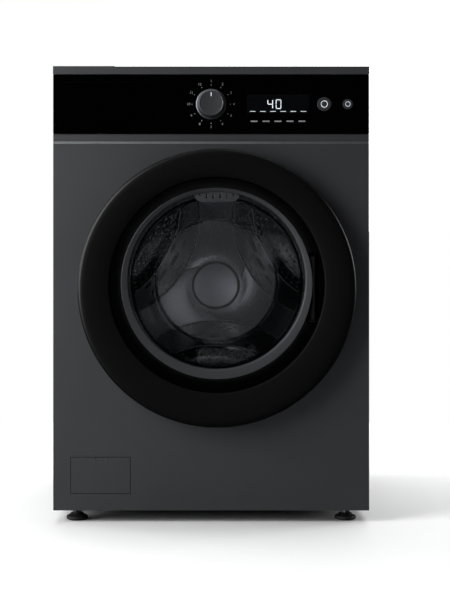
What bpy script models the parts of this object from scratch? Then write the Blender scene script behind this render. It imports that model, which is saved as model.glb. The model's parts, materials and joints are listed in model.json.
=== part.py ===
"""Front load washing machine, built as separate pieces in one frame.

Metres, +Z up. The front faces -Y and +X is the right side seen from the front. The origin is
on the floor, under the middle of the whole machine. The door and the drum share one line along
Y, which AXIS_X and AXIS_Z place. The door's rings sit a little higher than that line.
"""
import math

import bmesh
import bpy
from mathutils import Matrix, Vector

for leftover in list(bpy.data.objects):
    bpy.data.objects.remove(leftover, do_unlink=True)

# Cabinet
WIDTH = 0.686
HEIGHT = 0.990
FRONT_Y = -0.345
REAR_Y = 0.370
SHEET = 0.0015
GAP = 0.0003
SIDE_X = WIDTH / 2
INNER_X = SIDE_X - SHEET
SKIRT_Z = 0.026
PANEL_TOP_Z = 0.822
STRIP_Z = (0.828, 0.8427)
FASCIA_Z = (0.8430, 0.9718)
FASCIA_Y = FRONT_Y - 0.003
CONTROL_Z = 0.9075
COVER_Z = FASCIA_Z[1] + GAP

# Door and drum line
AXIS_X = 0.012
AXIS_Z = 0.509
MOUTH_RADIUS = 0.215
DOOR_RADIUS = 0.300
DOOR_FRONT_Y = -0.385
DOOR_BACK_Y = -0.3475
BEZEL_RADIUS = 0.2312
BEZEL_RISE = 0.0065
TRIM_RADIUS = 0.206
TRIM_RISE = 0.010
TRIM_HOLE = 0.191
TRIM_HOLE_RISE = 0.0165
BOWL_RISE = 0.0125
BOWL_FACE_RADIUS = 0.140
BOWL_FACE_Y = -0.225
HINGE_X = -0.280
HINGE_Y = -0.360
LATCH_X = 0.252
LATCH_PIVOT_Y = -0.358

# Tub and drum
TUB_RADIUS = 0.270
TUB_WALL = 0.004
TUB_FRONT_Y = -0.285
TUB_JOINT_Y = -0.060
TUB_REAR_Y = 0.215
DRUM_RADIUS = 0.248
DRUM_WALL = 0.0015
DRUM_FRONT_Y = -0.268
DRUM_BACK_Y = 0.180
SHAFT_RADIUS = 0.0165
LIFTER_ANGLES = (-90, 30, 150)
LIFTER_FOOT = 0.2415                               # its base lies just inside the drum wall
LIFTER_SWELL = 2.2
LIFTER_POINTS = 5
# Cuts across a lifter from front to back: (y, crest's distance from the drum line, half width)
LIFTER_CUTS = ((-0.236, 0.2150, 0.080), (-0.222, 0.1700, 0.125), (-0.200, 0.1430, 0.146),
               (-0.185, 0.1370, 0.150), (0.168, 0.0890, 0.182))
LIFTER_HOLLOW = ((-0.218, 0.1780, 0.120), (-0.197, 0.1470, 0.141), (-0.183, 0.1405, 0.146),
                 (0.165, 0.0925, 0.178))
HEATER_Z = AXIS_Z - 0.2555
DOOR_STEPS = 48
TUB_STEPS = 36

# Suspension, hoses and pump
DAMPER_SPREAD = 0.185
DAMPER_Y = 0.040
SPRING_SPREAD = 0.280
SPRING_Y = 0.115
SPRING_Z = (0.6203, 0.9000)
FILL_POINT = (-0.200, -0.150)
SUMP_POINT = (-0.080, -0.250)
PUMP_X = -0.240
PUMP_Z = 0.102
FOOT_PLACES = {"front_left": (-0.295, -0.300), "front_right": (0.295, -0.300),
               "rear_left": (-0.295, 0.325), "rear_right": (0.295, 0.325)}

# Controls
DRAWER_X = (-0.324, -0.126)
DRAWER_Z = (0.857, 0.957)
KNOB_X = 0.0
BUTTONS = {"start_button": (0.245, 0.0150), "power_button": (0.296, 0.0110)}
FLAP_X = (-0.305, -0.175)
FLAP_Z = (0.062, 0.142)

X_AXIS, Y_AXIS, Z_AXIS = Vector((1, 0, 0)), Vector((0, 1, 0)), Vector((0, 0, 1))


def finish(name, red, green, blue, roughness, metallic=0.0):
    """A plain surface: its linear colour, roughness and metallic value."""
    surface = bpy.data.materials.new(name)
    surface.use_nodes = True
    shader = surface.node_tree.nodes["Principled BSDF"]
    shader.inputs["Base Color"].default_value = (red, green, blue, 1.0)
    shader.inputs["Roughness"].default_value = roughness
    shader.inputs["Metallic"].default_value = metallic
    return surface


GRAPHITE = finish("graphite_paint", 0.060, 0.062, 0.068, 0.42, 0.5)
GALVANISED = finish("galvanised_steel", 0.45, 0.46, 0.47, 0.45, 1.0)
STAINLESS = finish("stainless_steel", 0.50, 0.50, 0.49, 0.28, 1.0)
SATIN_RING = finish("satin_dark_ring", 0.020, 0.020, 0.022, 0.30, 0.3)
GLOSS_BLACK = finish("gloss_black", 0.004, 0.004, 0.004, 0.10)
TRIM_METAL = finish("trim_metal", 0.075, 0.075, 0.078, 0.32, 0.9)
CLEAR_GLASS = finish("clear_glass", 0.80, 0.84, 0.86, 0.05)
BLACK_PLASTIC = finish("black_plastic", 0.012, 0.012, 0.012, 0.50)
GREY_PLASTIC = finish("grey_plastic", 0.30, 0.31, 0.32, 0.50)
PALE_PLASTIC = finish("pale_plastic", 0.55, 0.56, 0.56, 0.50)
GREY_RUBBER = finish("grey_rubber", 0.12, 0.12, 0.125, 0.70)
BLACK_RUBBER = finish("black_rubber", 0.015, 0.015, 0.015, 0.80)
CONCRETE = finish("concrete", 0.30, 0.29, 0.27, 0.90)
CAST_ALLOY = finish("cast_alloy", 0.40, 0.40, 0.41, 0.50, 1.0)
COPPER = finish("copper_winding", 0.45, 0.20, 0.10, 0.40, 1.0)


def box(low, high, bevel=0.0):
    """A block between two corners, with its edges broken where bevel is given."""
    low, high = Vector(low), Vector(high)
    shape = bmesh.new()
    place = Matrix.Translation((low + high) / 2) @ Matrix.Diagonal((*(high - low), 1.0))
    bmesh.ops.create_cube(shape, size=1.0, matrix=place)
    if bevel:
        bmesh.ops.bevel(shape, geom=shape.edges[:], offset=bevel, segments=1, affect="EDGES")
    return shape


def turned(outline, centre, axis, steps):
    """A solid turned about an axis through centre. The outline is (radius, place along axis)."""
    across = X_AXIS if axis == Z_AXIS else Z_AXIS
    foot = Vector(centre) - axis * Vector(centre).dot(axis)
    shape = bmesh.new()
    points = [shape.verts.new(foot + across * radius + axis * along) for radius, along in outline]
    loop = list(zip(points, points[1:] + points[:1]))
    on_axis = [radius < 1e-6 for radius, along in outline]
    sides = []
    for number, pair in enumerate(loop):
        if not (on_axis[number] and on_axis[(number + 1) % len(outline)]):
            sides.append(shape.edges.new(pair))
    bmesh.ops.spin(shape, geom=points + sides, cent=foot, axis=axis,
                   angle=math.tau, steps=steps, use_merge=True)
    bmesh.ops.remove_doubles(shape, verts=shape.verts[:], dist=1e-6)
    return shape


def disc(centre, axis, radius, start, end, steps=32):
    """A plain round bar along an axis, from start to end."""
    return turned([(0, start), (radius, start), (radius, end), (0, end)], centre, axis, steps)


def ring(centre, axis, inner, outer, start, end, steps=32):
    """A plain round bush along an axis, from start to end."""
    outline = [(inner, start), (outer, start), (outer, end), (inner, end)]
    return turned(outline, centre, axis, steps)


def prism(outline, direction):
    """A flat outline pushed out along a direction."""
    shape = bmesh.new()
    face = shape.faces.new([shape.verts.new(point) for point in outline])
    pushed = bmesh.ops.extrude_face_region(shape, geom=[face])["geom"]
    moved = [part for part in pushed if isinstance(part, bmesh.types.BMVert)]
    bmesh.ops.translate(shape, verts=moved, vec=direction)
    return shape


def solid(name, shape, surface):
    """Turns a shape into the object of that name, with its faces pointing out."""
    bmesh.ops.recalc_face_normals(shape, faces=shape.faces[:])
    mesh = bpy.data.meshes.new(name)
    shape.to_mesh(mesh)
    shape.free()
    mesh.materials.append(surface)
    mesh.shade_smooth()
    mesh.set_sharp_from_angle(angle=math.radians(35))
    piece = bpy.data.objects.new(name, mesh)
    bpy.context.scene.collection.objects.link(piece)
    return piece


def combine(piece, operation, shapes):
    """Adds shapes to a piece, or takes them away, through hidden tool objects."""
    for shape in shapes:
        name = f"tool_{piece.name}_{len(piece.modifiers)}"
        tool = solid(name, shape, piece.data.materials[0])
        tool.hide_render = True
        tool.display_type = "WIRE"
        step = piece.modifiers.new(name, "BOOLEAN")
        step.operation = operation
        step.object = tool
    return piece


def cut(piece, *shapes):
    return combine(piece, "DIFFERENCE", shapes)


def weld(piece, *shapes):
    return combine(piece, "UNION", shapes)


def tube(name, route, radius, surface, samples):
    """A round hose or rod along a smooth curve through the route's points."""
    places = [Vector(point) for point in route]
    ends = [2 * places[0] - places[1]] + places + [2 * places[-1] - places[-2]]
    points = []
    for number in range(len(places) - 1):
        before, start, end, after = ends[number:number + 4]
        for step in range(samples):
            t = step / samples
            points.append(0.5 * (2 * start + (end - before) * t
                                 + (2 * before - 5 * start + 4 * end - after) * t ** 2
                                 + (3 * start - before - 3 * end + after) * t ** 3))
    points.append(places[-1])
    curve = bpy.data.curves.new(name, "CURVE")
    curve.dimensions = "3D"
    curve.resolution_u = 1
    curve.render_resolution_u = 0
    curve.bevel_depth = radius
    curve.bevel_resolution = 2
    curve.use_fill_caps = True
    spline = curve.splines.new("POLY")
    spline.points.add(len(points) - 1)
    for target, point in zip(spline.points, points):
        target.co = (*point, 1.0)
    curve.materials.append(surface)
    piece = bpy.data.objects.new(name, curve)
    bpy.context.scene.collection.objects.link(piece)
    return piece


def moving_group(name, place, pieces):
    """Puts an empty on a joint and hangs the pieces that move there under it."""
    pivot = bpy.data.objects.new(name, None)
    pivot.location = place
    bpy.context.scene.collection.objects.link(pivot)
    for piece in pieces:
        piece.parent = pivot
        piece.matrix_parent_inverse = Matrix.Translation(-Vector(place))
    return pivot


def on_axis(rise=0.0):
    """A point on the door and drum line, or a little above it."""
    return (AXIS_X, 0.0, AXIS_Z + rise)


def base_frame():
    wall = 0.004
    top = 0.058
    outer = INNER_X - 0.0005
    front, rear = FRONT_Y + SHEET + 0.0005, REAR_Y - SHEET - 0.0005
    piece = solid("base_frame", box((-outer, front, SKIRT_Z), (outer, rear, top)), BLACK_PLASTIC)
    cut(piece, box((wall - outer, front + wall, SKIRT_Z + wall), (outer - wall, rear - wall, top + wall)))
    for x, y in FOOT_PLACES.values():
        cut(piece, disc((x, y, 0), Z_AXIS, 0.0068, 0.020, 0.040, 24))


def side_panels():
    low = (FRONT_Y + SHEET + GAP, SKIRT_Z)
    high = (REAR_Y - SHEET - GAP, FASCIA_Z[1])
    for name, inner, outer in (("left_side_panel", -SIDE_X, -INNER_X), ("right_side_panel", INNER_X, SIDE_X)):
        solid(name, box((inner, *low), (outer, *high)), GRAPHITE)


def rear_panel():
    piece = solid("rear_panel", box((-SIDE_X, REAR_Y - SHEET, SKIRT_Z), (SIDE_X, REAR_Y, FASCIA_Z[1])),
                  GALVANISED)
    holes = ((0.220, 0.900, 0.016), (0.280, 0.900, 0.016), (0.296, 0.800, 0.0112), (-0.290, 0.860, 0.016))
    for x, z, radius in holes:
        cut(piece, disc((x, 0, z), Y_AXIS, radius, REAR_Y - 0.010, REAR_Y + 0.010, 24))


def top_cover():
    overhang = FASCIA_Y - 0.002
    rim = 0.002
    piece = solid("top_cover", box((-SIDE_X, overhang, COVER_Z), (SIDE_X, REAR_Y, HEIGHT), 0.001), GRAPHITE)
    cut(piece, box((rim - SIDE_X, overhang + rim, COVER_Z - 0.010),
                   (SIDE_X - rim, REAR_Y - rim, HEIGHT - SHEET)))


def front_panel():
    back = FRONT_Y + SHEET
    piece = solid("front_panel", box((-SIDE_X, FRONT_Y, SKIRT_Z), (SIDE_X, back, PANEL_TOP_Z)), GRAPHITE)
    cut(piece, disc(on_axis(), Y_AXIS, MOUTH_RADIUS + SHEET / 2, FRONT_Y - 0.010, back + 0.010, DOOR_STEPS),
        box((FLAP_X[0], FRONT_Y - 0.005, FLAP_Z[0]), (FLAP_X[1], back + 0.005, FLAP_Z[1])),
        box((LATCH_X - 0.0075, FRONT_Y - 0.005, AXIS_Z - 0.017),
            (LATCH_X + 0.0090, back + 0.005, AXIS_Z + 0.017)))
    weld(piece, ring(on_axis(), Y_AXIS, MOUTH_RADIUS, MOUTH_RADIUS + SHEET, FRONT_Y + 0.0004, -0.325,
                     DOOR_STEPS))


def fascia():
    back = FRONT_Y + SHEET
    solid("fascia_trim_strip", box((-SIDE_X, FRONT_Y, STRIP_Z[0]), (SIDE_X, back, STRIP_Z[1])), GRAPHITE)
    piece = solid("control_fascia", box((-SIDE_X, FASCIA_Y, FASCIA_Z[0]), (SIDE_X, back, FASCIA_Z[1]), 0.0008),
                  GLOSS_BLACK)
    cut(piece, box((DRAWER_X[0], FASCIA_Y - 0.01, DRAWER_Z[0]), (DRAWER_X[1], back + 0.01, DRAWER_Z[1])),
        disc((KNOB_X, 0, CONTROL_Z), Y_AXIS, 0.0060, FASCIA_Y - 0.01, back + 0.01, 24))
    for x, radius in BUTTONS.values():
        cut(piece, disc((x, 0, CONTROL_Z), Y_AXIS, radius + 0.0008, FASCIA_Y - 0.01, back + 0.01, 32))


def cross_members():
    """The folded angle behind the front seam, and the bar that the springs hang from."""
    length = 2 * (INNER_X - 0.0005)
    thick, front, low, high, depth = 0.002, FRONT_Y + SHEET + 0.0005, 0.800, 0.850, 0.026
    outline = [(front, low), (front + thick, low), (front + thick, high - thick),
               (front + depth, high - thick), (front + depth, high), (front, high)]
    points = [(-length / 2, y, z) for y, z in outline]
    solid("front_cross_brace", prism(points, X_AXIS * length), GALVANISED)
    low, high = SPRING_Z[1] + GAP, SPRING_Z[1] + 0.030
    near, far = SPRING_Y - 0.020, SPRING_Y + 0.020
    outline = [(near, low), (far, low), (far, high), (far - thick, high), (far - thick, low + thick),
               (near, low + thick)]
    points = [(-length / 2, y, z) for y, z in outline]
    solid("spring_crossbar", prism(points, X_AXIS * length), GALVANISED)


def dispenser():
    wall = 0.0025
    x0, x1, z0, z1 = DRAWER_X[0], DRAWER_X[1], DRAWER_Z[0] - 0.001, DRAWER_Z[1] + 0.001
    front, rear = FRONT_Y + SHEET + GAP, -0.095
    piece = solid("dispenser_housing", box((x0 - wall, front, z0 - wall), (x1 + wall, rear, z1 + wall)),
                  PALE_PLASTIC)
    cut(piece, box((x0, front - 0.01, z0), (x1, rear - wall, z1)))
    top = z0 - wall - GAP
    solid("dispenser_hose", ring((*FILL_POINT, 0), Z_AXIS, 0.016, 0.022, 0.7723, top, 20), BLACK_RUBBER)


def drawer():
    inset, floor, wall = 0.0005, 0.0025, 0.0025
    x0, x1 = DRAWER_X[0] + 0.006, DRAWER_X[1] - 0.006
    back, front, rear = FRONT_Y + 0.0052, FRONT_Y + 0.0055, -0.112
    z0, z1 = DRAWER_Z[0] + 0.004, DRAWER_Z[1] - 0.024
    face = solid("drawer_front", box((DRAWER_X[0] + inset, FASCIA_Y, DRAWER_Z[0] + inset),
                                     (DRAWER_X[1] - inset, back, DRAWER_Z[1] - inset), 0.0008), GLOSS_BLACK)
    middle = (DRAWER_X[0] + DRAWER_X[1]) / 2
    cut(face, box((middle - 0.045, FASCIA_Y - 0.01, DRAWER_Z[0] - 0.01),
                  (middle + 0.045, FASCIA_Y + 0.004, DRAWER_Z[0] + 0.014)))
    tray = solid("drawer_tray", box((x0, front, z0), (x1, rear, z1)), PALE_PLASTIC)
    width = (x1 - x0 - wall) / 3
    for number in range(3):
        start = x0 + wall + number * width
        cut(tray, box((start, front + wall, z0 + floor), (start + width - wall, rear - wall, z1 + 0.010)))
    moving_group("drawer_slide", (middle, FASCIA_Y, CONTROL_Z), [face, tray])


def knob_and_buttons():
    tip = FASCIA_Y - 0.024
    outline = [(0, tip), (0.0270, tip), (0.0305, tip + 0.0035), (0.0330, FASCIA_Y - 0.001),
               (0.0045, FASCIA_Y - 0.001), (0.0045, FASCIA_Y + 0.014), (0, FASCIA_Y + 0.014)]
    place = (KNOB_X, 0, CONTROL_Z)
    knob = solid("program_knob", turned(outline, place, Y_AXIS, 32), TRIM_METAL)
    moving_group("program_knob_axis", (KNOB_X, FASCIA_Y, CONTROL_Z), [knob])
    for name, (x, radius) in BUTTONS.items():
        tip = FASCIA_Y - 0.003
        outline = [(0, tip), (radius - 0.001, tip), (radius, tip + 0.001), (radius, FASCIA_Y + 0.008),
                   (0, FASCIA_Y + 0.008)]
        button = solid(name, turned(outline, (x, 0, CONTROL_Z), Y_AXIS, 32), TRIM_METAL)
        moving_group(f"{name}_slide", (x, FASCIA_Y, CONTROL_Z), [button])


def inlet_valve_block():
    z = 0.900
    piece = solid("inlet_valve_block", box((0.196, 0.325, 0.880), (0.304, REAR_Y - SHEET - GAP, 0.920)),
                  PALE_PLASTIC)
    for x in (0.220, 0.280):
        weld(piece, disc((x, 0, z), Y_AXIS, 0.0132, 0.360, 0.385, 16),
             box((x - 0.012, 0.335, 0.918), (x + 0.012, 0.362, 0.948)))
        cut(piece, disc((x, 0, z), Y_AXIS, 0.0080, 0.345, 0.395, 12))


def power_inlet():
    outside = REAR_Y + GAP
    outline = [(0.0045, 0.350), (0.0105, 0.350), (0.0105, outside), (0.0150, outside),
               (0.0150, outside + 0.004), (0.0095, 0.381), (0.0045, 0.381)]
    solid("power_inlet", turned(outline, (0.296, 0, 0.800), Y_AXIS, 16), BLACK_PLASTIC)


def door_lock():
    front = FRONT_Y + SHEET + GAP
    piece = solid("door_lock", box((0.2400, front, AXIS_Z - 0.040), (0.2680, -0.326, AXIS_Z + 0.040)),
                  BLACK_PLASTIC)
    cut(piece, box((0.2435, front - 0.01, AXIS_Z - 0.018), (0.2635, -0.3285, AXIS_Z + 0.018)))


def door_hinge():
    """The bracket with its pin stays on the cabinet. The arm turns on the pin with the door."""
    post, axis_point = 0.0055, (HINGE_X, HINGE_Y, 0)
    bracket = solid("door_hinge_bracket", box((HINGE_X - 0.006, -0.3488, AXIS_Z - 0.032),
                                              (HINGE_X + 0.018, FRONT_Y - GAP, AXIS_Z + 0.032)), GALVANISED)
    for low, high in ((-0.030, -0.0185), (0.0185, 0.030)):
        weld(bracket, box((HINGE_X - post, HINGE_Y - post, AXIS_Z + low),
                          (HINGE_X + post, -0.3470, AXIS_Z + high)))
    weld(bracket, disc(axis_point, Z_AXIS, 0.0025, AXIS_Z - 0.0250, AXIS_Z + 0.0250, 16))
    arm = solid("door_hinge_arm", disc(axis_point, Z_AXIS, 0.0062, AXIS_Z - 0.018, AXIS_Z + 0.018, 24),
                CAST_ALLOY)
    weld(arm, box((HINGE_X + 0.002, HINGE_Y - 0.0035, AXIS_Z - 0.016),
                  (HINGE_X + 0.044, HINGE_Y + 0.0035, AXIS_Z + 0.016)))
    cut(arm, disc(axis_point, Z_AXIS, 0.0032, AXIS_Z - 0.030, AXIS_Z + 0.030, 16))
    return arm


def door_rings():
    """The outer ring, the black ring with its grip pocket, the grey trim and the back frame."""
    inner = BEZEL_RADIUS - 0.015
    outline = [(inner, DOOR_BACK_Y), (DOOR_RADIUS - 0.004, DOOR_BACK_Y), (DOOR_RADIUS, DOOR_BACK_Y - 0.004),
               (DOOR_RADIUS, -0.3700), (DOOR_RADIUS - 0.0045, -0.3775), (DOOR_RADIUS - 0.012, DOOR_FRONT_Y),
               (DOOR_RADIUS - 0.030, DOOR_FRONT_Y + 0.0005), (BEZEL_RADIUS + 0.012, -0.3800), (inner, -0.3760)]
    outer = solid("door_outer_ring", turned(outline, on_axis(), Y_AXIS, DOOR_STEPS), SATIN_RING)
    cut(outer, disc(on_axis(BEZEL_RISE), Y_AXIS, BEZEL_RADIUS + GAP, -0.400, -0.330, DOOR_STEPS),
        box((HINGE_X - 0.020, -0.3715, AXIS_Z - 0.034), (HINGE_X + 0.046, -0.340, AXIS_Z + 0.034)),
        box((LATCH_X - 0.0090, -0.3680, AXIS_Z - 0.018), (LATCH_X + 0.0110, -0.340, AXIS_Z + 0.018)))
    back = -0.3520
    bezel = solid("door_bezel_ring",
                  ring(on_axis(BEZEL_RISE), Y_AXIS, 0.190, BEZEL_RADIUS, -0.3680, back, DOOR_STEPS),
                  GLOSS_BLACK)
    cut(bezel, disc(on_axis(TRIM_RISE), Y_AXIS, TRIM_RADIUS + GAP, -0.400, -0.330, DOOR_STEPS),
        box((AXIS_X + 0.195, -0.400, AXIS_Z - 0.076), (AXIS_X + 0.219, back - 0.003, AXIS_Z + 0.076)))
    outline = [(0.170, back), (TRIM_RADIUS, back), (TRIM_RADIUS, -0.3715), (TRIM_RADIUS - 0.0025, -0.3740),
               (0.170, -0.3700)]
    trim = solid("door_trim_ring", turned(outline, on_axis(TRIM_RISE), Y_AXIS, DOOR_STEPS), TRIM_METAL)
    cut(trim, disc(on_axis(TRIM_HOLE_RISE), Y_AXIS, TRIM_HOLE, -0.400, -0.330, DOOR_STEPS))
    outline = [(0.1890, -0.3474), (0.2010, -0.3474), (0.2010, -0.3516), (0.2110, -0.3516),
               (0.2110, -0.3462), (0.1890, -0.3462)]
    frame = solid("door_inner_frame", turned(outline, on_axis(BOWL_RISE), Y_AXIS, DOOR_STEPS), BLACK_PLASTIC)
    return [outer, bezel, trim, frame]


def door_glass():
    """The deep bowl: a rim between the trim and the back frame, a sloping wall and a flat face."""
    face, wall = BOWL_FACE_RADIUS, 0.004
    back = BOWL_FACE_Y
    outline = [(0, back - wall), (face - 0.012, back - wall), (face - 0.002, back - 0.012), (0.1800, -0.3380),
               (0.1830, -0.3517), (0.2005, -0.3517), (0.2005, -0.3478), (0.1872, -0.3478), (0.1842, -0.3380),
               (face + 0.003, back - 0.010), (face - 0.010, back), (0, back)]
    return solid("door_glass", turned(outline, on_axis(BOWL_RISE), Y_AXIS, DOOR_STEPS), CLEAR_GLASS)


def latch_hook():
    x, tip, half = LATCH_X, -0.3320, 0.013
    outline = [(x - 0.002, LATCH_PIVOT_Y), (x - 0.002, tip), (x + 0.0055, tip - 0.0010),
               (x + 0.0055, tip - 0.0040), (x + 0.002, tip - 0.0045), (x + 0.002, LATCH_PIVOT_Y)]
    points = [(px, py, AXIS_Z - half) for px, py in outline]
    piece = solid("latch_hook", prism(points, Z_AXIS * 2 * half), STAINLESS)
    weld(piece, disc((x, LATCH_PIVOT_Y, 0), Z_AXIS, 0.0045, AXIS_Z - half, AXIS_Z + half, 20))
    return piece


def door():
    pieces = door_rings() + [door_glass(), door_hinge()]
    pivot = moving_group("door_hinge_axis", (HINGE_X, HINGE_Y, AXIS_Z), pieces)
    hook_pivot = moving_group("latch_axis", (LATCH_X, LATCH_PIVOT_Y, AXIS_Z), [latch_hook()])
    hook_pivot.parent = pivot
    hook_pivot.matrix_parent_inverse = Matrix.Translation(-pivot.location)


def door_gasket():
    outline = [(0.2140, -0.3415), (0.2140, -0.3230), (0.2080, -0.3120), (0.2080, -0.3080), (0.2208, -0.2990),
               (0.2208, -0.2840), (0.2170, -0.2840), (0.2170, -0.2960), (0.2040, -0.3050), (0.2040, -0.3150),
               (0.2105, -0.3250), (0.2105, -0.3380), (0.2050, -0.3415)]
    solid("door_gasket", turned(outline, on_axis(), Y_AXIS, TUB_STEPS), GREY_RUBBER)


def tub_shells():
    radius, inner = TUB_RADIUS, TUB_RADIUS - TUB_WALL
    flange, mouth = radius + 0.010, 0.222
    outline = [(mouth, -0.300), (mouth + 0.004, -0.300), (mouth + 0.004, TUB_FRONT_Y), (radius, TUB_FRONT_Y),
               (radius, TUB_JOINT_Y - 0.012), (flange, TUB_JOINT_Y - 0.012), (flange, TUB_JOINT_Y - GAP / 2),
               (inner, TUB_JOINT_Y - GAP / 2), (inner, TUB_FRONT_Y + TUB_WALL), (mouth, TUB_FRONT_Y + TUB_WALL)]
    front = solid("tub_front_shell", turned(outline, on_axis(), Y_AXIS, TUB_STEPS), GREY_PLASTIC)
    weld(front, disc((*FILL_POINT, 0), Z_AXIS, 0.020, 0.672, 0.772, 20),
         disc((*SUMP_POINT, 0), Z_AXIS, 0.020, 0.215, 0.2615, 20))
    boss, bore, wall_y = 0.046, 0.032, TUB_REAR_Y - 0.006
    outline = [(inner, TUB_JOINT_Y + GAP / 2), (flange, TUB_JOINT_Y + GAP / 2), (flange, TUB_JOINT_Y + 0.012),
               (radius, TUB_JOINT_Y + 0.012), (radius, TUB_REAR_Y), (boss, TUB_REAR_Y), (boss, 0.250),
               (bore, 0.250), (bore, 0.200), (boss, 0.200), (boss, wall_y), (inner, wall_y)]
    rear = solid("tub_rear_shell", turned(outline, on_axis(), Y_AXIS, TUB_STEPS), GREY_PLASTIC)
    for side in (-1, 1):
        damper_x, lug_x = AXIS_X + side * DAMPER_SPREAD, AXIS_X + side * (SPRING_SPREAD - 0.008)
        weld(rear,
             box((damper_x - 0.016, DAMPER_Y - 0.018, 0.272), (damper_x + 0.016, DAMPER_Y + 0.018, 0.312)),
             box((lug_x - 0.026, SPRING_Y - 0.012, 0.590), (lug_x + 0.026, SPRING_Y + 0.012, SPRING_Z[0] - GAP)))
        cut(rear, disc((AXIS_X + side * 0.025, 0, HEATER_Z), Y_AXIS, 0.0055, wall_y - 0.01,
                       TUB_REAR_Y + 0.01, 16))
    return [front, rear]


def heater():
    """A hairpin rod under the drum, whose two ends pass out through the back of the tub."""
    bend, front, rear = 0.025, -0.080, 0.235
    turns = [math.radians(angle) for angle in range(0, -181, -30)]
    arc = [(AXIS_X + bend * math.cos(turn), front + bend * math.sin(turn), HEATER_Z) for turn in turns]
    return tube("heater", [(AXIS_X + bend, rear, HEATER_Z)] + arc + [(AXIS_X - bend, rear, HEATER_Z)],
                0.0035, STAINLESS, 1)


def counterweights():
    top = solid("counterweight_top",
                box((AXIS_X - 0.092, -0.230, 0.700), (AXIS_X + 0.228, -0.075, 0.845), 0.006),
                CONCRETE)
    cut(top, disc(on_axis(), Y_AXIS, TUB_RADIUS + 0.0025, -0.300, 0.0, DOOR_STEPS))
    front = solid("counterweight_front",
                  ring(on_axis(), Y_AXIS, 0.232, 0.267, -0.3215, TUB_FRONT_Y - GAP, TUB_STEPS),
                  CONCRETE)
    return [top, front]


def motor_and_bearing():
    bearing = solid("drum_bearing", ring(on_axis(), Y_AXIS, 0.0172, 0.0312, 0.204, 0.246, 24), STAINLESS)
    stator = solid("motor_stator", ring(on_axis(), Y_AXIS, 0.0470, 0.118, 0.2250, 0.2480, 36), COPPER)
    outline = [(0.0170, 0.262), (0.032, 0.262), (0.032, 0.268), (0.126, 0.268), (0.126, 0.222), (0.130, 0.222),
               (0.130, 0.272), (0.0170, 0.272)]
    rotor = solid("motor_rotor", turned(outline, on_axis(), Y_AXIS, 32), GALVANISED)
    return [bearing, stator], [rotor]


def dampers():
    rods = []
    for side, hand in ((-1, "left"), (1, "right")):
        centre = (AXIS_X + side * DAMPER_SPREAD, DAMPER_Y, 0)
        bottom = SKIRT_Z + 0.004 + GAP
        outline = [(0, bottom), (0.018, bottom), (0.018, 0.170), (0.0120, 0.170), (0.0120, 0.040), (0, 0.040)]
        solid(f"damper_cylinder_{hand}", turned(outline, centre, Z_AXIS, 20), GALVANISED)
        rods.append(solid(f"damper_rod_{hand}", disc(centre, Z_AXIS, 0.0090, 0.095, 0.272 - GAP, 16),
                          STAINLESS))
    return rods


def springs():
    for side, hand in ((-1, "left"), (1, "right")):
        centre = (AXIS_X + side * SPRING_SPREAD, SPRING_Y, 0)
        solid(f"spring_{hand}", ring(centre, Z_AXIS, 0.0100, 0.0135, SPRING_Z[0], SPRING_Z[1], 16), GALVANISED)


def drum():
    radius, inner = DRUM_RADIUS, DRUM_RADIUS - DRUM_WALL
    front, rear, lip = DRUM_FRONT_Y, DRUM_BACK_Y - GAP, 0.206
    outline = [(radius, rear), (radius, front + 0.008), (radius - 0.008, front), (lip, front),
               (lip, front + DRUM_WALL), (radius - 0.009, front + DRUM_WALL), (inner, front + 0.009), (inner, rear)]
    shell = solid("drum_shell", turned(outline, on_axis(), Y_AXIS, DOOR_STEPS), STAINLESS)
    dish, thick = 0.010, 0.002
    y = DRUM_BACK_Y
    outline = [(0, y - dish), (0.066, y - dish), (0.190, y), (radius, y), (radius, y + thick),
               (0.190, y + thick), (0.066, y + thick - dish), (0, y + thick - dish)]
    back = solid("drum_back", turned(outline, on_axis(), Y_AXIS, DOOR_STEPS), STAINLESS)
    hub_y = y - dish - GAP
    outline = [(0, hub_y - 0.014), (0.0555, hub_y - 0.014), (0.0610, hub_y), (0, hub_y)]
    hub = solid("drum_hub_cap", turned(outline, on_axis(), Y_AXIS, 48), STAINLESS)
    shaft = solid("drum_shaft", disc(on_axis(), Y_AXIS, SHAFT_RADIUS, 0.1965, 0.276, 24), STAINLESS)
    return [shell, back, hub, shaft, drum_spider()] + drum_lifters()


def drum_spider():
    """Three cast arms that join the drum to its shaft."""
    front, rear, reach, half_width, waist = DRUM_BACK_Y + 0.0023, 0.1962, 0.232, 0.016, 0.052
    points = []
    for angle in LIFTER_ANGLES:
        along = math.radians(angle)
        for offset, distance in ((-half_width * 1.5, waist), (-half_width, reach), (half_width, reach),
                                 (half_width * 1.5, waist)):
            x = AXIS_X + distance * math.cos(along) - offset * math.sin(along)
            z = AXIS_Z + distance * math.sin(along) + offset * math.cos(along)
            points.append((x, front, z))
    return solid("drum_spider", prism(points, Y_AXIS * (rear - front)), CAST_ALLOY)


def lifter_section(y, crest, half_width, foot):
    """Points (offset, height from the drum line, y) round one cut across a lifter."""
    rim = math.sqrt(foot ** 2 - half_width ** 2)
    steps = [number / LIFTER_POINTS for number in range(-LIFTER_POINTS, LIFTER_POINTS + 1)]
    top = [(half_width * step, crest + (rim - crest) * abs(step) ** LIFTER_SWELL, y) for step in steps]
    base = [(half_width * step, math.sqrt(foot ** 2 - (half_width * step) ** 2), y)
            for step in (0.8, 0.4, 0.0, -0.4, -0.8)]
    return top + base


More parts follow.
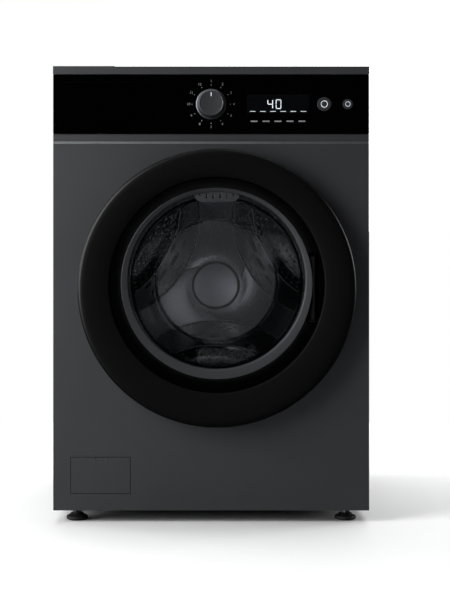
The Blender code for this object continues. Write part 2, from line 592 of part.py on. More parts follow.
def lofted_lifter(cuts, foot, angle):
    """A closed skin through the cuts, turned to an angle round the drum line."""
    along = math.radians(angle)
    shape = bmesh.new()
    loops = []
    for cut_line in cuts:
        loops.append([shape.verts.new((AXIS_X + height * math.cos(along) - offset * math.sin(along), y,
                                       AXIS_Z + height * math.sin(along) + offset * math.cos(along)))
                      for offset, height, y in lifter_section(*cut_line, foot)])
    for near, far in zip(loops, loops[1:]):
        for corner in range(len(near)):
            shape.faces.new((near[corner - 1], near[corner], far[corner], far[corner - 1]))
    shape.faces.new(loops[0])
    shape.faces.new(loops[-1])
    return shape


def drum_lifters():
    """Three very wide hollow paddles that rise towards the back, one at the bottom and two at the sides."""
    pieces = []
    for number, angle in enumerate(LIFTER_ANGLES, start=1):
        piece = solid(f"drum_lifter_{number}", lofted_lifter(LIFTER_CUTS, LIFTER_FOOT, angle), GREY_PLASTIC)
        pieces.append(cut(piece, lofted_lifter(LIFTER_HOLLOW, LIFTER_FOOT + 0.005, angle)))
    return pieces


def pump():
    place = (PUMP_X, 0, PUMP_Z)
    outline = [(0.0318, -0.334), (0.036, -0.334), (0.036, -0.212), (0.030, -0.208), (0.030, -0.135),
               (0, -0.135), (0, -0.216), (0.0318, -0.216)]
    body = solid("pump_body", turned(outline, place, Y_AXIS, 20), BLACK_PLASTIC)
    elbow_top = 0.145 - GAP
    weld(body, disc((0, SUMP_POINT[1], PUMP_Z), X_AXIS, 0.014, PUMP_X + 0.0325, SUMP_POINT[0], 16),
         disc((*SUMP_POINT, 0), Z_AXIS, 0.019, PUMP_Z - 0.018, elbow_top, 20),
         disc((PUMP_X, -0.280, 0), Z_AXIS, 0.0135, PUMP_Z + 0.033, 0.152, 16))
    solid("tub_pump_hose", ring((*SUMP_POINT, 0), Z_AXIS, 0.015, 0.021, 0.145, 0.215 - GAP, 20), BLACK_RUBBER)
    outline = [(0, -0.333), (0.0305, -0.333), (0.0305, -0.324), (0.026, -0.322), (0.026, -0.235),
               (0.0225, -0.235), (0.0225, -0.318), (0, -0.318)]
    strainer = solid("pump_filter", turned(outline, place, Y_AXIS, 20), GREY_PLASTIC)
    weld(strainer, box((PUMP_X - 0.022, -0.3405, PUMP_Z - 0.004), (PUMP_X + 0.022, -0.330, PUMP_Z + 0.004)))
    moving_group("pump_filter_axis", (PUMP_X, -0.333, PUMP_Z), [strainer])
    route = [(PUMP_X, -0.280, 0.1550), (PUMP_X, -0.280, 0.175), (-0.268, -0.262, 0.214), (-0.308, -0.215, 0.232),
             (-0.318, -0.120, 0.236), (-0.318, 0.050, 0.236), (-0.318, 0.200, 0.240), (-0.317, 0.285, 0.262),
             (-0.313, 0.322, 0.330), (-0.310, 0.328, 0.450), (-0.302, 0.330, 0.620), (-0.292, 0.328, 0.760),
             (-0.290, 0.334, 0.832), (-0.290, 0.352, 0.857), (-0.290, 0.384, 0.860)]
    tube("drain_hose", route, 0.0125, BLACK_RUBBER, 2)


def service_flap():
    clear, thick = 0.0008, 0.003
    piece = solid("service_flap", box((FLAP_X[0] + clear, FRONT_Y, FLAP_Z[0] + 0.001),
                                      (FLAP_X[1] - clear, FRONT_Y + thick, FLAP_Z[1] - clear)), GRAPHITE)
    moving_group("service_flap_axis", ((FLAP_X[0] + FLAP_X[1]) / 2, FRONT_Y + thick / 2, FLAP_Z[0] + 0.0025),
                 [piece])


def feet():
    outline = [(0, 0), (0.022, 0), (0.024, 0.003), (0.023, 0.008), (0.014, 0.014), (0.0055, 0.014),
               (0.0055, 0.050), (0, 0.050)]
    for name, (x, y) in FOOT_PLACES.items():
        piece = solid(f"foot_{name}", turned(outline, (x, y, 0), Z_AXIS, 16), BLACK_RUBBER)
        moving_group(f"foot_{name}_axis", (x, y, 0), [piece])


def tub_and_drum():
    still_parts, turning_parts = motor_and_bearing()
    tub = moving_group("tub_suspension", on_axis(), tub_shells() + counterweights() + still_parts + dampers()
                       + [heater()])
    line = moving_group("drum_axis", on_axis(), drum() + turning_parts)
    line.parent = tub
    line.matrix_parent_inverse = Matrix.Translation(-tub.location)


def main():
    base_frame()
    side_panels()
    rear_panel()
    top_cover()
    front_panel()
    fascia()
    cross_members()
    dispenser()
    drawer()
    knob_and_buttons()
    inlet_valve_block()
    power_inlet()
    door_lock()
    door()
    door_gasket()
    tub_and_drum()
    springs()
    pump()
    service_flap()
    feet()
    bpy.context.view_layer.update()


main()
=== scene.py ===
import json
import math

import bpy
from bpy.props import FloatProperty, FloatVectorProperty, IntProperty, PointerProperty
from mathutils import Matrix, Vector


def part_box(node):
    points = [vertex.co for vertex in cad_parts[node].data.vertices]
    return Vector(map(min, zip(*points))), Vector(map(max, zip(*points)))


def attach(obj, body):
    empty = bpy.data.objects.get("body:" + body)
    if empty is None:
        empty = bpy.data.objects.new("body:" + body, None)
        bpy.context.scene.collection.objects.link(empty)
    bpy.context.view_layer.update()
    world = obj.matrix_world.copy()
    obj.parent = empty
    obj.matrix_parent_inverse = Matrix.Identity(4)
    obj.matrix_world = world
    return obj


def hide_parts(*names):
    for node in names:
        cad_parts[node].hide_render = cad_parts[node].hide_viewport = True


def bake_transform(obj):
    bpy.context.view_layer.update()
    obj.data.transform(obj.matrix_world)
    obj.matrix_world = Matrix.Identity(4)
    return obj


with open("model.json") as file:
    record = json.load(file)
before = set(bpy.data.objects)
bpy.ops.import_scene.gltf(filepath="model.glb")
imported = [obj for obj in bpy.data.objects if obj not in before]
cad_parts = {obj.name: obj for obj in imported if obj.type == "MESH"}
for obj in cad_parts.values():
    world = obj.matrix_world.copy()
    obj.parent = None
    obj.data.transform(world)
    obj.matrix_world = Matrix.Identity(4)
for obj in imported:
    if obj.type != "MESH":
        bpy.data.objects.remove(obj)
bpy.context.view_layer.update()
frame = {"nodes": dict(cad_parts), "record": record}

bl_info = {
    "name": "Front Load Washing Machine",
    "version": (1, 0, 0),
    "blender": (4, 5, 0),
    "location": "3D View > Sidebar > Washer",
    "description": "Finishes a front load washing machine round its packed frame",
    "category": "Object",
}

MM = 0.001
HAIR = 0.2 * MM                                    # keeps two touching surfaces apart
PAST = 20 * MM                                     # how far a cutter reaches past the face it opens
RING_STEPS = 160
TRIM_HOLE = 0.191
TRIM_HOLE_RISE = 0.0165                            # its centre above the drum line: the trim is thicker below
MOUTH_RADIUS = 0.2158
DOT_CIRCLE = 0.0415
NUMBER_CIRCLE = 0.0495


# ---------------------------------------------------------------- places read from the frame

def middle(node):
    low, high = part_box(node)
    return (low + high) / 2


DRUM_LINE = middle("drum_shell")
RING_LOW, RING_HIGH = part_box("door_outer_ring")
RING_RADIUS = (RING_HIGH.x - RING_LOW.x) / 2
RING_FRONT = RING_LOW.y
BEZEL_LOW, BEZEL_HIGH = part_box("door_bezel_ring")
BEZEL_RADIUS = (BEZEL_HIGH.x - BEZEL_LOW.x) / 2
BEZEL_RISE = middle("door_bezel_ring").z - DRUM_LINE.z
TRIM_LOW, TRIM_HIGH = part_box("door_trim_ring")
TRIM_RADIUS = (TRIM_HIGH.x - TRIM_LOW.x) / 2
TRIM_RISE = middle("door_trim_ring").z - DRUM_LINE.z
BOWL_LOW, BOWL_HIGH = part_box("door_glass")
BOWL_RISE = middle("door_glass").z - DRUM_LINE.z
PANEL_LOW, PANEL_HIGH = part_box("front_panel")
PANEL_Y = PANEL_LOW.y
FASCIA_LOW, FASCIA_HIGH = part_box("control_fascia")
REAR_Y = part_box("rear_panel")[1].y
DRUM_LOW, DRUM_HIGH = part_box("drum_shell")
DRUM_RADIUS = (DRUM_HIGH.x - DRUM_LOW.x) / 2
BODY_OF = {node: body for body, nodes in frame["record"]["behaviour"]["bodies"].items() for node in nodes}
SLOT_OF = {part["node"]: part["material_slot"] for part in frame["record"]["subparts"]}


# ---------------------------------------------------------------- materials

def linear(code):
    """An sRGB hex colour as linear RGBA."""
    channels = [int(code[place:place + 2], 16) / 255 for place in (0, 2, 4)]
    return (*[c / 12.92 if c <= 0.04045 else ((c + 0.055) / 1.055) ** 2.4 for c in channels], 1.0)


def add_node(tree, kind, settings=None, links=None):
    """One shader node with its settings and its incoming links."""
    node = tree.nodes.new(kind)
    for key, value in (settings or {}).items():
        if key in node.inputs:
            node.inputs[key].default_value = value
        else:
            setattr(node, key, value)
    for key, output in (links or {}).items():
        tree.links.new(output, node.inputs[key])
    return node


def finish(name, dark, light, roughness, patch_mm, grain_mm, grain_depth_mm, stretch=(1, 1, 1), **sockets):
    """A surface whose colour and gloss drift over patches and whose face has a fine grain.

    patch_mm is the size of the drifting patches, grain_mm the spacing of the grain and
    grain_depth_mm its height. stretch turns the grain into brush lines along one axis.
    """
    surface = bpy.data.materials.new(name)
    surface.use_nodes = True
    tree = surface.node_tree
    shader = tree.nodes["Principled BSDF"]
    for key, value in sockets.items():
        shader.inputs[key.replace("_", " ")].default_value = value
    place = add_node(tree, "ShaderNodeTexCoord").outputs["Object"]
    patches = add_node(tree, "ShaderNodeTexNoise", {"Scale": 1000 / patch_mm, "Detail": 3.0},
                       {"Vector": place})
    colour = add_node(tree, "ShaderNodeMix", {"data_type": "RGBA"}, {"Factor": patches.outputs["Fac"]})
    colour.inputs[6].default_value, colour.inputs[7].default_value = linear(dark), linear(light)
    tree.links.new(colour.outputs[2], shader.inputs["Base Color"])
    lines = add_node(tree, "ShaderNodeMapping", {"Scale": stretch}, {"Vector": place})
    grain = add_node(tree, "ShaderNodeTexNoise", {"Scale": 1000 / grain_mm, "Detail": 2.0},
                     {"Vector": lines.outputs["Vector"]})
    gloss = add_node(tree, "ShaderNodeMapRange", {"To Min": roughness[0], "To Max": roughness[1]},
                     {"Value": grain.outputs["Fac"]})
    tree.links.new(gloss.outputs["Result"], shader.inputs["Roughness"])
    bump = add_node(tree, "ShaderNodeBump", {"Strength": 0.5, "Distance": grain_depth_mm * MM},
                    {"Height": grain.outputs["Fac"]})
    tree.links.new(bump.outputs["Normal"], shader.inputs["Normal"])
    return surface


def make_materials():
    """Every finish on the machine, by name."""
    made = {
        # Powder-coated sheet steel: satin graphite with metallic flake and a slight orange peel
        "graphite_paint": finish("satin_graphite_powder_coat", "3b3c3f", "434447", (0.40, 0.48), 140, 1.6,
                                 0.008, Metallic=0.35, Coat_Weight=0.08, Coat_Roughness=0.38),
        # Zinc-dipped sheet: dull grey spangle the size of a thumbnail
        "galvanised_steel": finish("galvanised_sheet", "8d9092", "a3a6a8", (0.40, 0.58), 18, 6, 0.010,
                                   Metallic=1.0),
        # Polished ferritic stainless steel of the drum: bright, with faint rolling lines
        "stainless_steel": finish("rolled_stainless_steel", "85868a", "9c9da0", (0.24, 0.32), 60, 1.2, 0.0006,
                                  stretch=(1, 0.06, 1), Metallic=1.0),
        # Brushed stainless disc: straight upright brush lines that spread the highlights sideways
        "hub_steel": finish("brushed_stainless_disc", "a5a7ad", "b6b8bd", (0.30, 0.36), 50, 0.7, 0.0012,
                            stretch=(1, 1, 0.04), Metallic=1.0),
        # Moulded ABS with a satin clear coat: near black, soft wide highlights
        "door_satin_ring": finish("satin_coated_abs", "040405", "060607", (0.36, 0.42), 120, 1.4, 0.003,
                                  IOR=1.5, Specular_IOR_Level=0.25),
        # Piano-black ABS: deep black under a hard polish
        "gloss_black": finish("piano_black_abs", "000000", "010101", (0.05, 0.09), 150, 30, 0.010,
                              IOR=1.5, Specular_IOR_Level=0.3),
        # Anodised aluminium, dark satin: even grey, fine turning marks
        "trim_metal": finish("dark_anodised_aluminium", "5a5b5f", "65666a", (0.36, 0.46), 70, 0.8, 0.003,
                             stretch=(1, 0.1, 1), Metallic=0.85),
        # Pressed soda-lime glass: clear, with a faint grey body and a very slight waviness
        "clear_glass": finish("pressed_soda_lime_glass", "c9cdd2", "d3d7dc", (0.0, 0.03), 90, 60, 0.04,
                              IOR=1.5, Transmission_Weight=1.0),
        # Glass-filled polypropylene: black, fine moulded texture
        "black_plastic": finish("textured_black_polypropylene", "0f0f10", "171718", (0.45, 0.60), 50, 0.9,
                                0.020, IOR=1.49),
        # Filled polypropylene of tub and lifters: dark grey, smooth from a polished mould
        "grey_plastic": finish("dark_grey_polypropylene", "232427", "2d2e31", (0.16, 0.24), 60, 1.1, 0.006,
                               IOR=1.49, Coat_Weight=0.3, Coat_Roughness=0.08),
        # Polypropylene of the detergent parts: pale, waxy
        "pale_plastic": finish("pale_polypropylene", "b9bcbd", "c8cacb", (0.34, 0.46), 60, 1.1, 0.010,
                               IOR=1.49),
        # White polypropylene of the lifters' edge beads, smooth, slightly yellowed: the beads are real, and
        # their white is a painted highlight, thin bright lines along the lifters' edges
        "white_plastic": finish("white_polypropylene", "dfe0de", "ecedeb", (0.30, 0.42), 60, 1.1, 0.010,
                                IOR=1.49),
        # EPDM rubber of the bellows: mid grey, matt, slightly dusty
        "grey_rubber": finish("grey_epdm_rubber", "44464a", "54565a", (0.55, 0.72), 40, 0.8, 0.020, IOR=1.52),
        "black_rubber": finish("black_epdm_rubber", "131314", "1d1d1e", (0.60, 0.78), 30, 0.8, 0.020,
                               IOR=1.52),
        # Cast concrete: pale grey with pores
        "concrete": finish("cast_concrete", "82807a", "9a9892", (0.80, 0.95), 25, 3.0, 0.250, IOR=1.5),
        # Die-cast aluminium: dull, faintly pebbled
        "cast_alloy": finish("die_cast_aluminium", "9a9b9d", "adaeb0", (0.38, 0.52), 30, 1.5, 0.030,
                             Metallic=1.0),
        # Enamelled copper wire: orange brown under varnish, wound in fine turns
        "copper_winding": finish("enamelled_copper", "8a4a22", "b0683a", (0.22, 0.35), 8, 1.0, 0.060,
                                 stretch=(1, 0.2, 1), Metallic=0.9),
        # Smoked acrylic over the display: black and very smooth
        "display_lens": finish("smoked_acrylic", "040506", "07080a", (0.03, 0.06), 100, 40, 0.010, IOR=1.49),
        # Pad-printed grey ink
        "grey_ink": finish("pad_printed_ink", "7e8084", "8b8d91", (0.45, 0.55), 20, 0.6, 0.002, IOR=1.5),
        # Zinc-plated screws
        "zinc_plate": finish("zinc_plated_steel", "9b9da0", "b2b4b6", (0.25, 0.38), 10, 0.8, 0.006,
                             Metallic=1.0),
        # Matt paper backdrop
        "paper": finish("white_backdrop_paper", "f4f4f4", "fafafa", (0.85, 0.95), 400, 3.0, 0.010, IOR=1.4),
    }
    lit = made["display_digit"] = finish("display_digit_light", "cfd6dc", "dfe5ea", (0.4, 0.5), 20, 1.0,
                                         0.002)
    shader = lit.node_tree.nodes["Principled BSDF"]
    shader.inputs["Emission Color"].default_value = linear("dfe9f2")
    shader.inputs["Emission Strength"].default_value = 0.5
    return made


MATERIALS = {}


# ---------------------------------------------------------------- modelling by hand, in code

def select_none():
    if bpy.context.object and bpy.context.object.mode != "OBJECT":
        bpy.ops.object.mode_set(mode="OBJECT")
    bpy.ops.object.select_all(action="DESELECT")


def pick(piece):
    """Makes a piece the active one and the only one selected."""
    select_none()
    bpy.context.view_layer.objects.active = piece
    piece.select_set(True)


def settle(piece, name):
    """Names a new piece and moves its place into its mesh."""
    piece.name = piece.data.name = name
    bpy.ops.object.transform_apply(location=True, rotation=True, scale=True)
    return piece


def open_edit(piece, select="SELECT"):
    pick(piece)
    bpy.ops.object.mode_set(mode="EDIT")
    bpy.ops.mesh.select_all(action=select)


def close_edit():
    bpy.ops.object.mode_set(mode="OBJECT")


def break_edges(piece, width, segments=2):
    """Rounds every sharp edge of a piece."""
    open_edit(piece, "DESELECT")
    bpy.ops.mesh.select_mode(type="EDGE")
    bpy.ops.mesh.edges_select_sharp(sharpness=math.radians(40))
    bpy.ops.mesh.bevel(offset=width, segments=segments, affect="EDGES", clamp_overlap=True)
    bpy.ops.mesh.select_mode(type="VERT")
    close_edit()
    return piece


def block(name, low, high, rounding=0.0, segments=2):
    low, high = Vector(low), Vector(high)
    select_none()
    bpy.ops.mesh.primitive_cube_add(size=1.0, location=(low + high) / 2, scale=high - low)
    piece = settle(bpy.context.object, name)
    return break_edges(piece, rounding, segments) if rounding else piece


def rod(name, start, end, radius, sides=32, rounding=0.0, top=None):
    """A round bar from start to end, or a cone where the top's radius is given."""
    start, end = Vector(start), Vector(end)
    run = end - start
    turn = Vector((0, 0, 1)).rotation_difference(run).to_euler()
    select_none()
    bpy.ops.mesh.primitive_cone_add(vertices=sides, radius1=radius, radius2=radius if top is None else top,
                                    depth=run.length, location=(start + end) / 2, rotation=turn)
    piece = settle(bpy.context.object, name)
    return break_edges(piece, rounding) if rounding else piece


def turned(name, outline, centre=None, steps=RING_STEPS, along="Y"):
    """An outline drawn point by point and spun about a line along Y or Z.

    A point is (radius, place along the line) and, where a ring sits off centre, its rise.
    """
    centre = DRUM_LINE if centre is None else Vector(centre)
    axis = Vector((0, 1, 0)) if along == "Y" else Vector((0, 0, 1))
    across = Vector((0, 0, 1)) if along == "Y" else Vector((1, 0, 0))
    foot = centre - axis * centre.dot(axis)
    places = [foot + across * point[0] + axis * point[1] for point in outline]
    select_none()
    bpy.ops.mesh.primitive_plane_add(size=MM)
    piece = bpy.context.object
    open_edit(piece)
    bpy.ops.mesh.merge(type="CENTER")
    bpy.ops.transform.translate(value=places[0])
    for last, place in zip(places, places[1:] + places[:1]):
        bpy.ops.mesh.extrude_vertices_move(TRANSFORM_OT_translate={"value": place - last})
    bpy.ops.mesh.select_all(action="SELECT")
    bpy.ops.mesh.spin(steps=steps, angle=math.tau, center=foot, axis=axis)
    bpy.ops.mesh.select_all(action="SELECT")
    bpy.ops.mesh.remove_doubles(threshold=1e-5)
    bpy.ops.mesh.delete_loose()
    bpy.ops.mesh.select_all(action="SELECT")
    bpy.ops.mesh.normals_make_consistent(inside=False)
    close_edit()
    raised = [point for point in outline if len(point) == 3]
    for vertex in piece.data.vertices:
        reach = (vertex.co - foot - axis * vertex.co.dot(axis)).length
        for radius, height, rise in raised:
            if abs(reach - radius) < 1e-5 and abs(vertex.co.dot(axis) - height) < 1e-5:
                vertex.co.z += rise
                break
    return settle(piece, name)


def apply_modifier(piece, kind, **settings):
    pick(piece)
    step = piece.modifiers.new(kind.title(), kind)
    for key, value in settings.items():
        setattr(step, key, value)
    bpy.ops.object.modifier_apply(modifier=step.name)
    return piece


def wire(name, places, radius):
    """A round wire through the places, as a mesh."""
    curve = bpy.data.curves.new(name, "CURVE")
    curve.dimensions, curve.bevel_depth, curve.bevel_resolution, curve.use_fill_caps = "3D", radius, 2, True
    spline = curve.splines.new("POLY")
    spline.points.add(len(places) - 1)
    for point, place in zip(spline.points, places):
        point.co = (*place, 1.0)
    line = bpy.data.objects.new(name, curve)
    bpy.context.scene.collection.objects.link(line)
    pick(line)
    bpy.ops.object.convert(target="MESH")
    return bpy.context.object


def carve(piece, cutters):
    """Cuts each of the cutters out of a piece, one by one."""
    for cutter in cutters:
        apply_modifier(piece, "BOOLEAN", object=cutter, operation="DIFFERENCE")
        bpy.data.objects.remove(cutter)
    return piece


def duplicate(piece, name, matrix):
    """A copy with its own mesh, moved by the matrix."""
    copy = bpy.data.objects.new(name, piece.data.copy())
    copy.data.name = name
    copy.data.transform(matrix)
    bpy.context.scene.collection.objects.link(copy)
    return copy


def join(name, pieces):
    select_none()
    for piece in pieces:
        piece.select_set(True)
    bpy.context.view_layer.objects.active = pieces[0]
    if len(pieces) > 1:
        bpy.ops.object.join()
    pieces[0].name = pieces[0].data.name = name
    return pieces[0]


def dress(piece, material, body, smooth=35, nodes=()):
    """Gives a piece its finish, its body and the nodes it stands for.

    body is None where the piece spans two bodies, and the piece is then left unattached.
    """
    piece.data.materials.clear()
    piece.data.materials.append(MATERIALS[material])
    if smooth:
        pick(piece)
        bpy.ops.object.shade_smooth_by_angle(angle=math.radians(smooth))
        apply_modifier(piece, "WEIGHTED_NORMAL", keep_sharp=True)
    if body:
        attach(piece, body)
    if nodes:
        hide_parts(*nodes)
    return piece


def around(angle, distance, y=0.0, centre=DRUM_LINE):
    """A point at an angle and distance from the drum line, or from a line through another centre."""
    return Vector((centre.x + distance * math.cos(angle), y, centre.z + distance * math.sin(angle)))


def spin_about_drum(degrees):
    shift = Matrix.Translation((DRUM_LINE.x, 0, DRUM_LINE.z))
    return shift @ Matrix.Rotation(math.radians(-degrees), 4, "Y") @ shift.inverted()


# ---------------------------------------------------------------- settings

class WasherSettings(bpy.types.PropertyGroup):
    key_power: FloatProperty(name="Key light", description="Power of the large light at the left",
                             default=80.0, min=0.0, subtype="POWER")
    hole_pitch: FloatProperty(name="Hole pitch", description="Distance between the drum's holes",
                              default=0.0185, min=0.005, unit="LENGTH")
    hole_size: FloatProperty(name="Hole size", description="Width of a drum hole", default=0.0042, min=0.001,
                             unit="LENGTH")
    rim_height: FloatProperty(name="Rim height", description="Height of the pressed rim round a drum hole",
                              default=0.0014, min=0.0, unit="LENGTH")
    rim_width: FloatProperty(name="Rim width", description="Rim width as a share of the hole's width",
                             default=1.9, min=1.1)
    spring_turns: IntProperty(name="Spring turns", description="Turns of a suspension spring", default=22,
                              min=4)
    backdrop: FloatVectorProperty(name="Backdrop", description="Colour behind the machine",
                                  default=(1.0, 1.0, 1.0), subtype="COLOR", min=0.0, max=1.0)


# ---------------------------------------------------------------- stage

class WASHER_OT_stage(bpy.types.Operator):
    """Sets the floor, the backdrop, the lights and the camera"""
    bl_idname = "washer.stage"
    bl_label = "Stage"

    def execute(self, context):
        settings = context.scene.washer
        select_none()
        bpy.ops.mesh.primitive_circle_add(vertices=96, radius=1.9, fill_type="NGON",
                                          location=(0, -0.2, -0.0005))
        floor = settle(context.object, "studio_floor")
        floor.data.materials.append(MATERIALS["paper"])
        floor.visible_glossy = False
        world = bpy.data.worlds.new("studio")
        context.scene.world = world
        world.use_nodes = True
        tree = world.node_tree
        seen = tree.nodes["Background"]
        seen.inputs["Color"].default_value = (*settings.backdrop, 1.0)
        felt = add_node(tree, "ShaderNodeBackground", {"Color": (0.85, 0.90, 1.0, 1.0), "Strength": 0.02})
        ray = add_node(tree, "ShaderNodeLightPath")
        mix = add_node(tree, "ShaderNodeMixShader")
        tree.links.new(ray.outputs["Is Camera Ray"], mix.inputs[0])
        tree.links.new(felt.outputs["Background"], mix.inputs[1])
        tree.links.new(seen.outputs["Background"], mix.inputs[2])
        tree.links.new(mix.outputs["Shader"], tree.nodes["World Output"].inputs["Surface"])
        front, drum = Vector((0, PANEL_Y, 0.52)), Vector((DRUM_LINE.x, 0.12, DRUM_LINE.z))
        rear = Vector((0, REAR_Y, 0.5))
        # name: (place, aimed at, width and height, power, seen through glass and by the lens)
        lights = {
            "key_left": ((-1.9, -1.5, 1.30), front, (1.5, 2.2), settings.key_power, True),
            "top_front": ((-0.3, -1.9, 2.7), front, (1.8, 0.6), 2.5, True),
            "glass_glint": ((-0.1, -1.50, 2.65), front, (1.0, 0.25), 2.2, True),
            "side_right": ((3.2, 0.9, 1.5), rear, (1.6, 2.0), 60.0, True),
            "side_left": ((-3.4, 1.2, 1.5), rear, (1.4, 2.0), 40.0, True),
            "over_top": ((0.2, 1.3, 3.6), rear, (4.4, 4.0), 130.0, True),
            "rear_fill": ((0.6, 3.4, 1.5), rear, (2.2, 1.6), 34.0, True),
            "glass_veil": ((0.028, PANEL_Y - 4.155, 0.4825), front, (0.66, 0.66), 0.27, True),
            "drum_glow": ((DRUM_LINE.x - 0.140, -0.180, DRUM_LINE.z - 0.045), drum,
                          (0.12, 0.16), 0.034, False),
            "drum_spark": ((DRUM_LINE.x + 0.060, -0.170, DRUM_LINE.z - 0.020), drum - Vector((0, 0.10, 0.14)),
                           (0.05, 0.05), 0.018, False),
        }
        for name, (place, aim, size, power, seen) in lights.items():
            lamp = bpy.data.lights.new(name, "AREA")
            lamp.shape, lamp.size, lamp.size_y, lamp.energy = "RECTANGLE", size[0], size[1], power
            if name == "glass_veil":
                lamp.shape = "DISK"
            light = bpy.data.objects.new(name, lamp)
            light.location = place
            light.rotation_euler = (aim - Vector(place)).to_track_quat("-Z", "Y").to_euler()
            light.visible_camera = light.visible_transmission = seen
            context.scene.collection.objects.link(light)
        self.limit("key_left", ["door_glass_bowl", "door_gloss_ring", "fascia_skin", "drawer_front_skin"],
                   "EXCLUDE")
        self.limit("glass_glint", ["door_glass_bowl", "door_trim_skin"], "INCLUDE")
        context.scene.view_settings.view_transform = "Standard"
        lens = bpy.data.cameras.new("camera")
        lens.lens, lens.sensor_width = 84.2, 36.0
        lens.shift_x, lens.shift_y = 0.0234, -0.0447
        camera = bpy.data.objects.new("camera", lens)
        camera.location = (0.0, PANEL_Y - 3.0, 0.550)
        camera.rotation_euler = (math.radians(90), 0, 0)
        context.scene.collection.objects.link(camera)
        context.scene.camera = camera
        return {"FINISHED"}

    def limit(self, light, pieces, state):
        """Keeps a light off some pieces, or on them alone."""
        group = bpy.data.collections.new(f"{light}_pieces")
        for piece in pieces:
            group.objects.link(bpy.data.objects[piece])
        bpy.data.objects[light].light_linking.receiver_collection = group
        for member in group.collection_objects:
            member.light_linking.link_state = state


# ---------------------------------------------------------------- door

class WASHER_OT_door_rings(bpy.types.Operator):
    """Models the satin outer ring, the gloss ring with its grip, the trim and the back frame"""
    bl_idname = "washer.door_rings"
    bl_label = "Door rings"

    def execute(self, context):
        edge, front, back = RING_RADIUS, RING_FRONT, RING_HIGH.y
        lip, rise = BEZEL_RADIUS + 0.6 * MM, BEZEL_RISE
        outline = [(lip, back, rise), (edge - 0.0040, back), (edge - 0.0008, back - 0.0015),
                   (edge, back - 0.0035), (edge, front + 0.0080), (edge - 0.0006, front + 0.0054),
                   (edge - 0.0020, front + 0.0032), (edge - 0.0042, front + 0.0016),
                   (edge - 0.0080, front + 0.0004), (edge - 0.0150, front), (edge - 0.0300, front + 0.0004),
                   (edge - 0.0480, front + 0.0022), (lip + 0.0040, front + 0.0048, rise),
                   (lip + 0.0012, front + 0.0058, rise), (lip, front + 0.0078, rise)]
        ring = turned("door_outer_ring_skin", outline)
        hinge, latch = middle("door_hinge_bracket"), middle("latch_hook")
        low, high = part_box("door_hinge_bracket")
        carve(ring, [block("hinge_pocket", (hinge.x - 0.030, front + 0.0135, low.z - 0.002),
                           (high.x + 0.028, back + 0.01, high.z + 0.002)),
                     block("latch_pocket", (latch.x - 0.010, front + 0.017, latch.z - 0.018),
                           (latch.x + 0.010, back + 0.01, latch.z + 0.018))])
        dress(ring, "door_satin_ring", "door", 28, ["door_outer_ring"])

        radius, step_y, rear = BEZEL_RADIUS - HAIR, BEZEL_LOW.y, BEZEL_HIGH.y
        hole = TRIM_RADIUS + 0.4 * MM
        outline = [(radius, rear, rise), (radius, step_y + 0.0012, rise), (radius - 0.0010, step_y, rise),
                   (hole + 0.0100, step_y + 0.0002, TRIM_RISE), (hole + 0.0008, step_y + 0.0004, TRIM_RISE),
                   (hole, step_y + 0.0012, TRIM_RISE), (hole, rear, TRIM_RISE)]
        bezel = turned("door_gloss_ring", outline)
        reach, half = 0.219, 0.076
        pocket = block("grip_cutter", (DRUM_LINE.x + 0.190, step_y - PAST, DRUM_LINE.z - half),
                       (DRUM_LINE.x + reach, rear - 0.0032, DRUM_LINE.z + half), 0.008, 4)
        carve(bezel, [pocket])
        dress(bezel, "gloss_black", "door", 28, ["door_bezel_ring"])
        plate = block("grip_liner", (DRUM_LINE.x + 0.2075, rear - 0.0029, DRUM_LINE.z - half + 0.003),
                      (DRUM_LINE.x + reach - 0.0005, rear - 0.0012, DRUM_LINE.z + half - 0.003), 0.0006)
        dress(plate, "black_plastic", "door")

        outer, inner, face, rear = TRIM_RADIUS, TRIM_HOLE, TRIM_LOW.y, TRIM_HIGH.y
        low_rise, high_rise = TRIM_RISE, TRIM_HOLE_RISE
        outline = [(outer, rear, low_rise), (outer, face + 0.0008, low_rise),
                   (outer - 0.0008, face, low_rise), (inner + 0.0040, face + 0.0016, high_rise),
                   (inner + 0.0012, face + 0.0026, high_rise), (inner, face + 0.0042, high_rise),
                   (inner, rear, high_rise)]
        trim = turned("door_trim_skin", outline)
        dress(trim, "trim_metal", "door", 28, ["door_trim_ring"])

        top = DRUM_LINE.z + high_rise + inner
        vent = block("door_vent", (DRUM_LINE.x - 0.049, face + 0.0055, top - 0.0215),
                     (DRUM_LINE.x + 0.049, face + 0.0115, top + 0.0010))
        open_edit(vent, "DESELECT")
        bpy.ops.mesh.select_mode(type="EDGE")
        close_edit()
        for line in vent.data.edges:
            ends = [vent.data.vertices[index].co for index in line.vertices]
            line.select = all(end.z < top - 0.02 for end in ends) and abs(ends[0].y - ends[1].y) > 0.004
        bpy.ops.object.mode_set(mode="EDIT")
        bpy.ops.mesh.bevel(offset=0.017, segments=8, affect="EDGES")
        close_edit()
        slots = [block("vent_slot", (DRUM_LINE.x + offset - 0.0015, face, top - depth),
                       (DRUM_LINE.x + offset + 0.0015, face + 0.02, top - 0.004))
                 for offset, depth in ((-0.036, 0.009), (-0.022, 0.014), (-0.0075, 0.0155), (0.0075, 0.0155),
                                       (0.022, 0.014), (0.036, 0.009))]
        carve(vent, slots)
        break_edges(vent, 0.0005)
        dress(vent, "trim_metal", "door")

        low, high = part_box("door_inner_frame")
        radius, rise = (high.x - low.x) / 2, middle("door_inner_frame").z - DRUM_LINE.z
        seat = 0.2011
        outline = [(0.1892, high.y), (0.1892, -0.3474), (seat, -0.3474), (seat, low.y), (radius, low.y),
                   (radius, high.y), (radius - 0.006, high.y), (radius - 0.008, high.y - 0.0012),
                   (radius - 0.012, high.y - 0.0012), (radius - 0.014, high.y)]
        seat_ring = turned("door_back_frame", [(r, y, rise) for r, y in outline])
        dress(seat_ring, "black_plastic", "door", 28, ["door_inner_frame"])
        return {"FINISHED"}


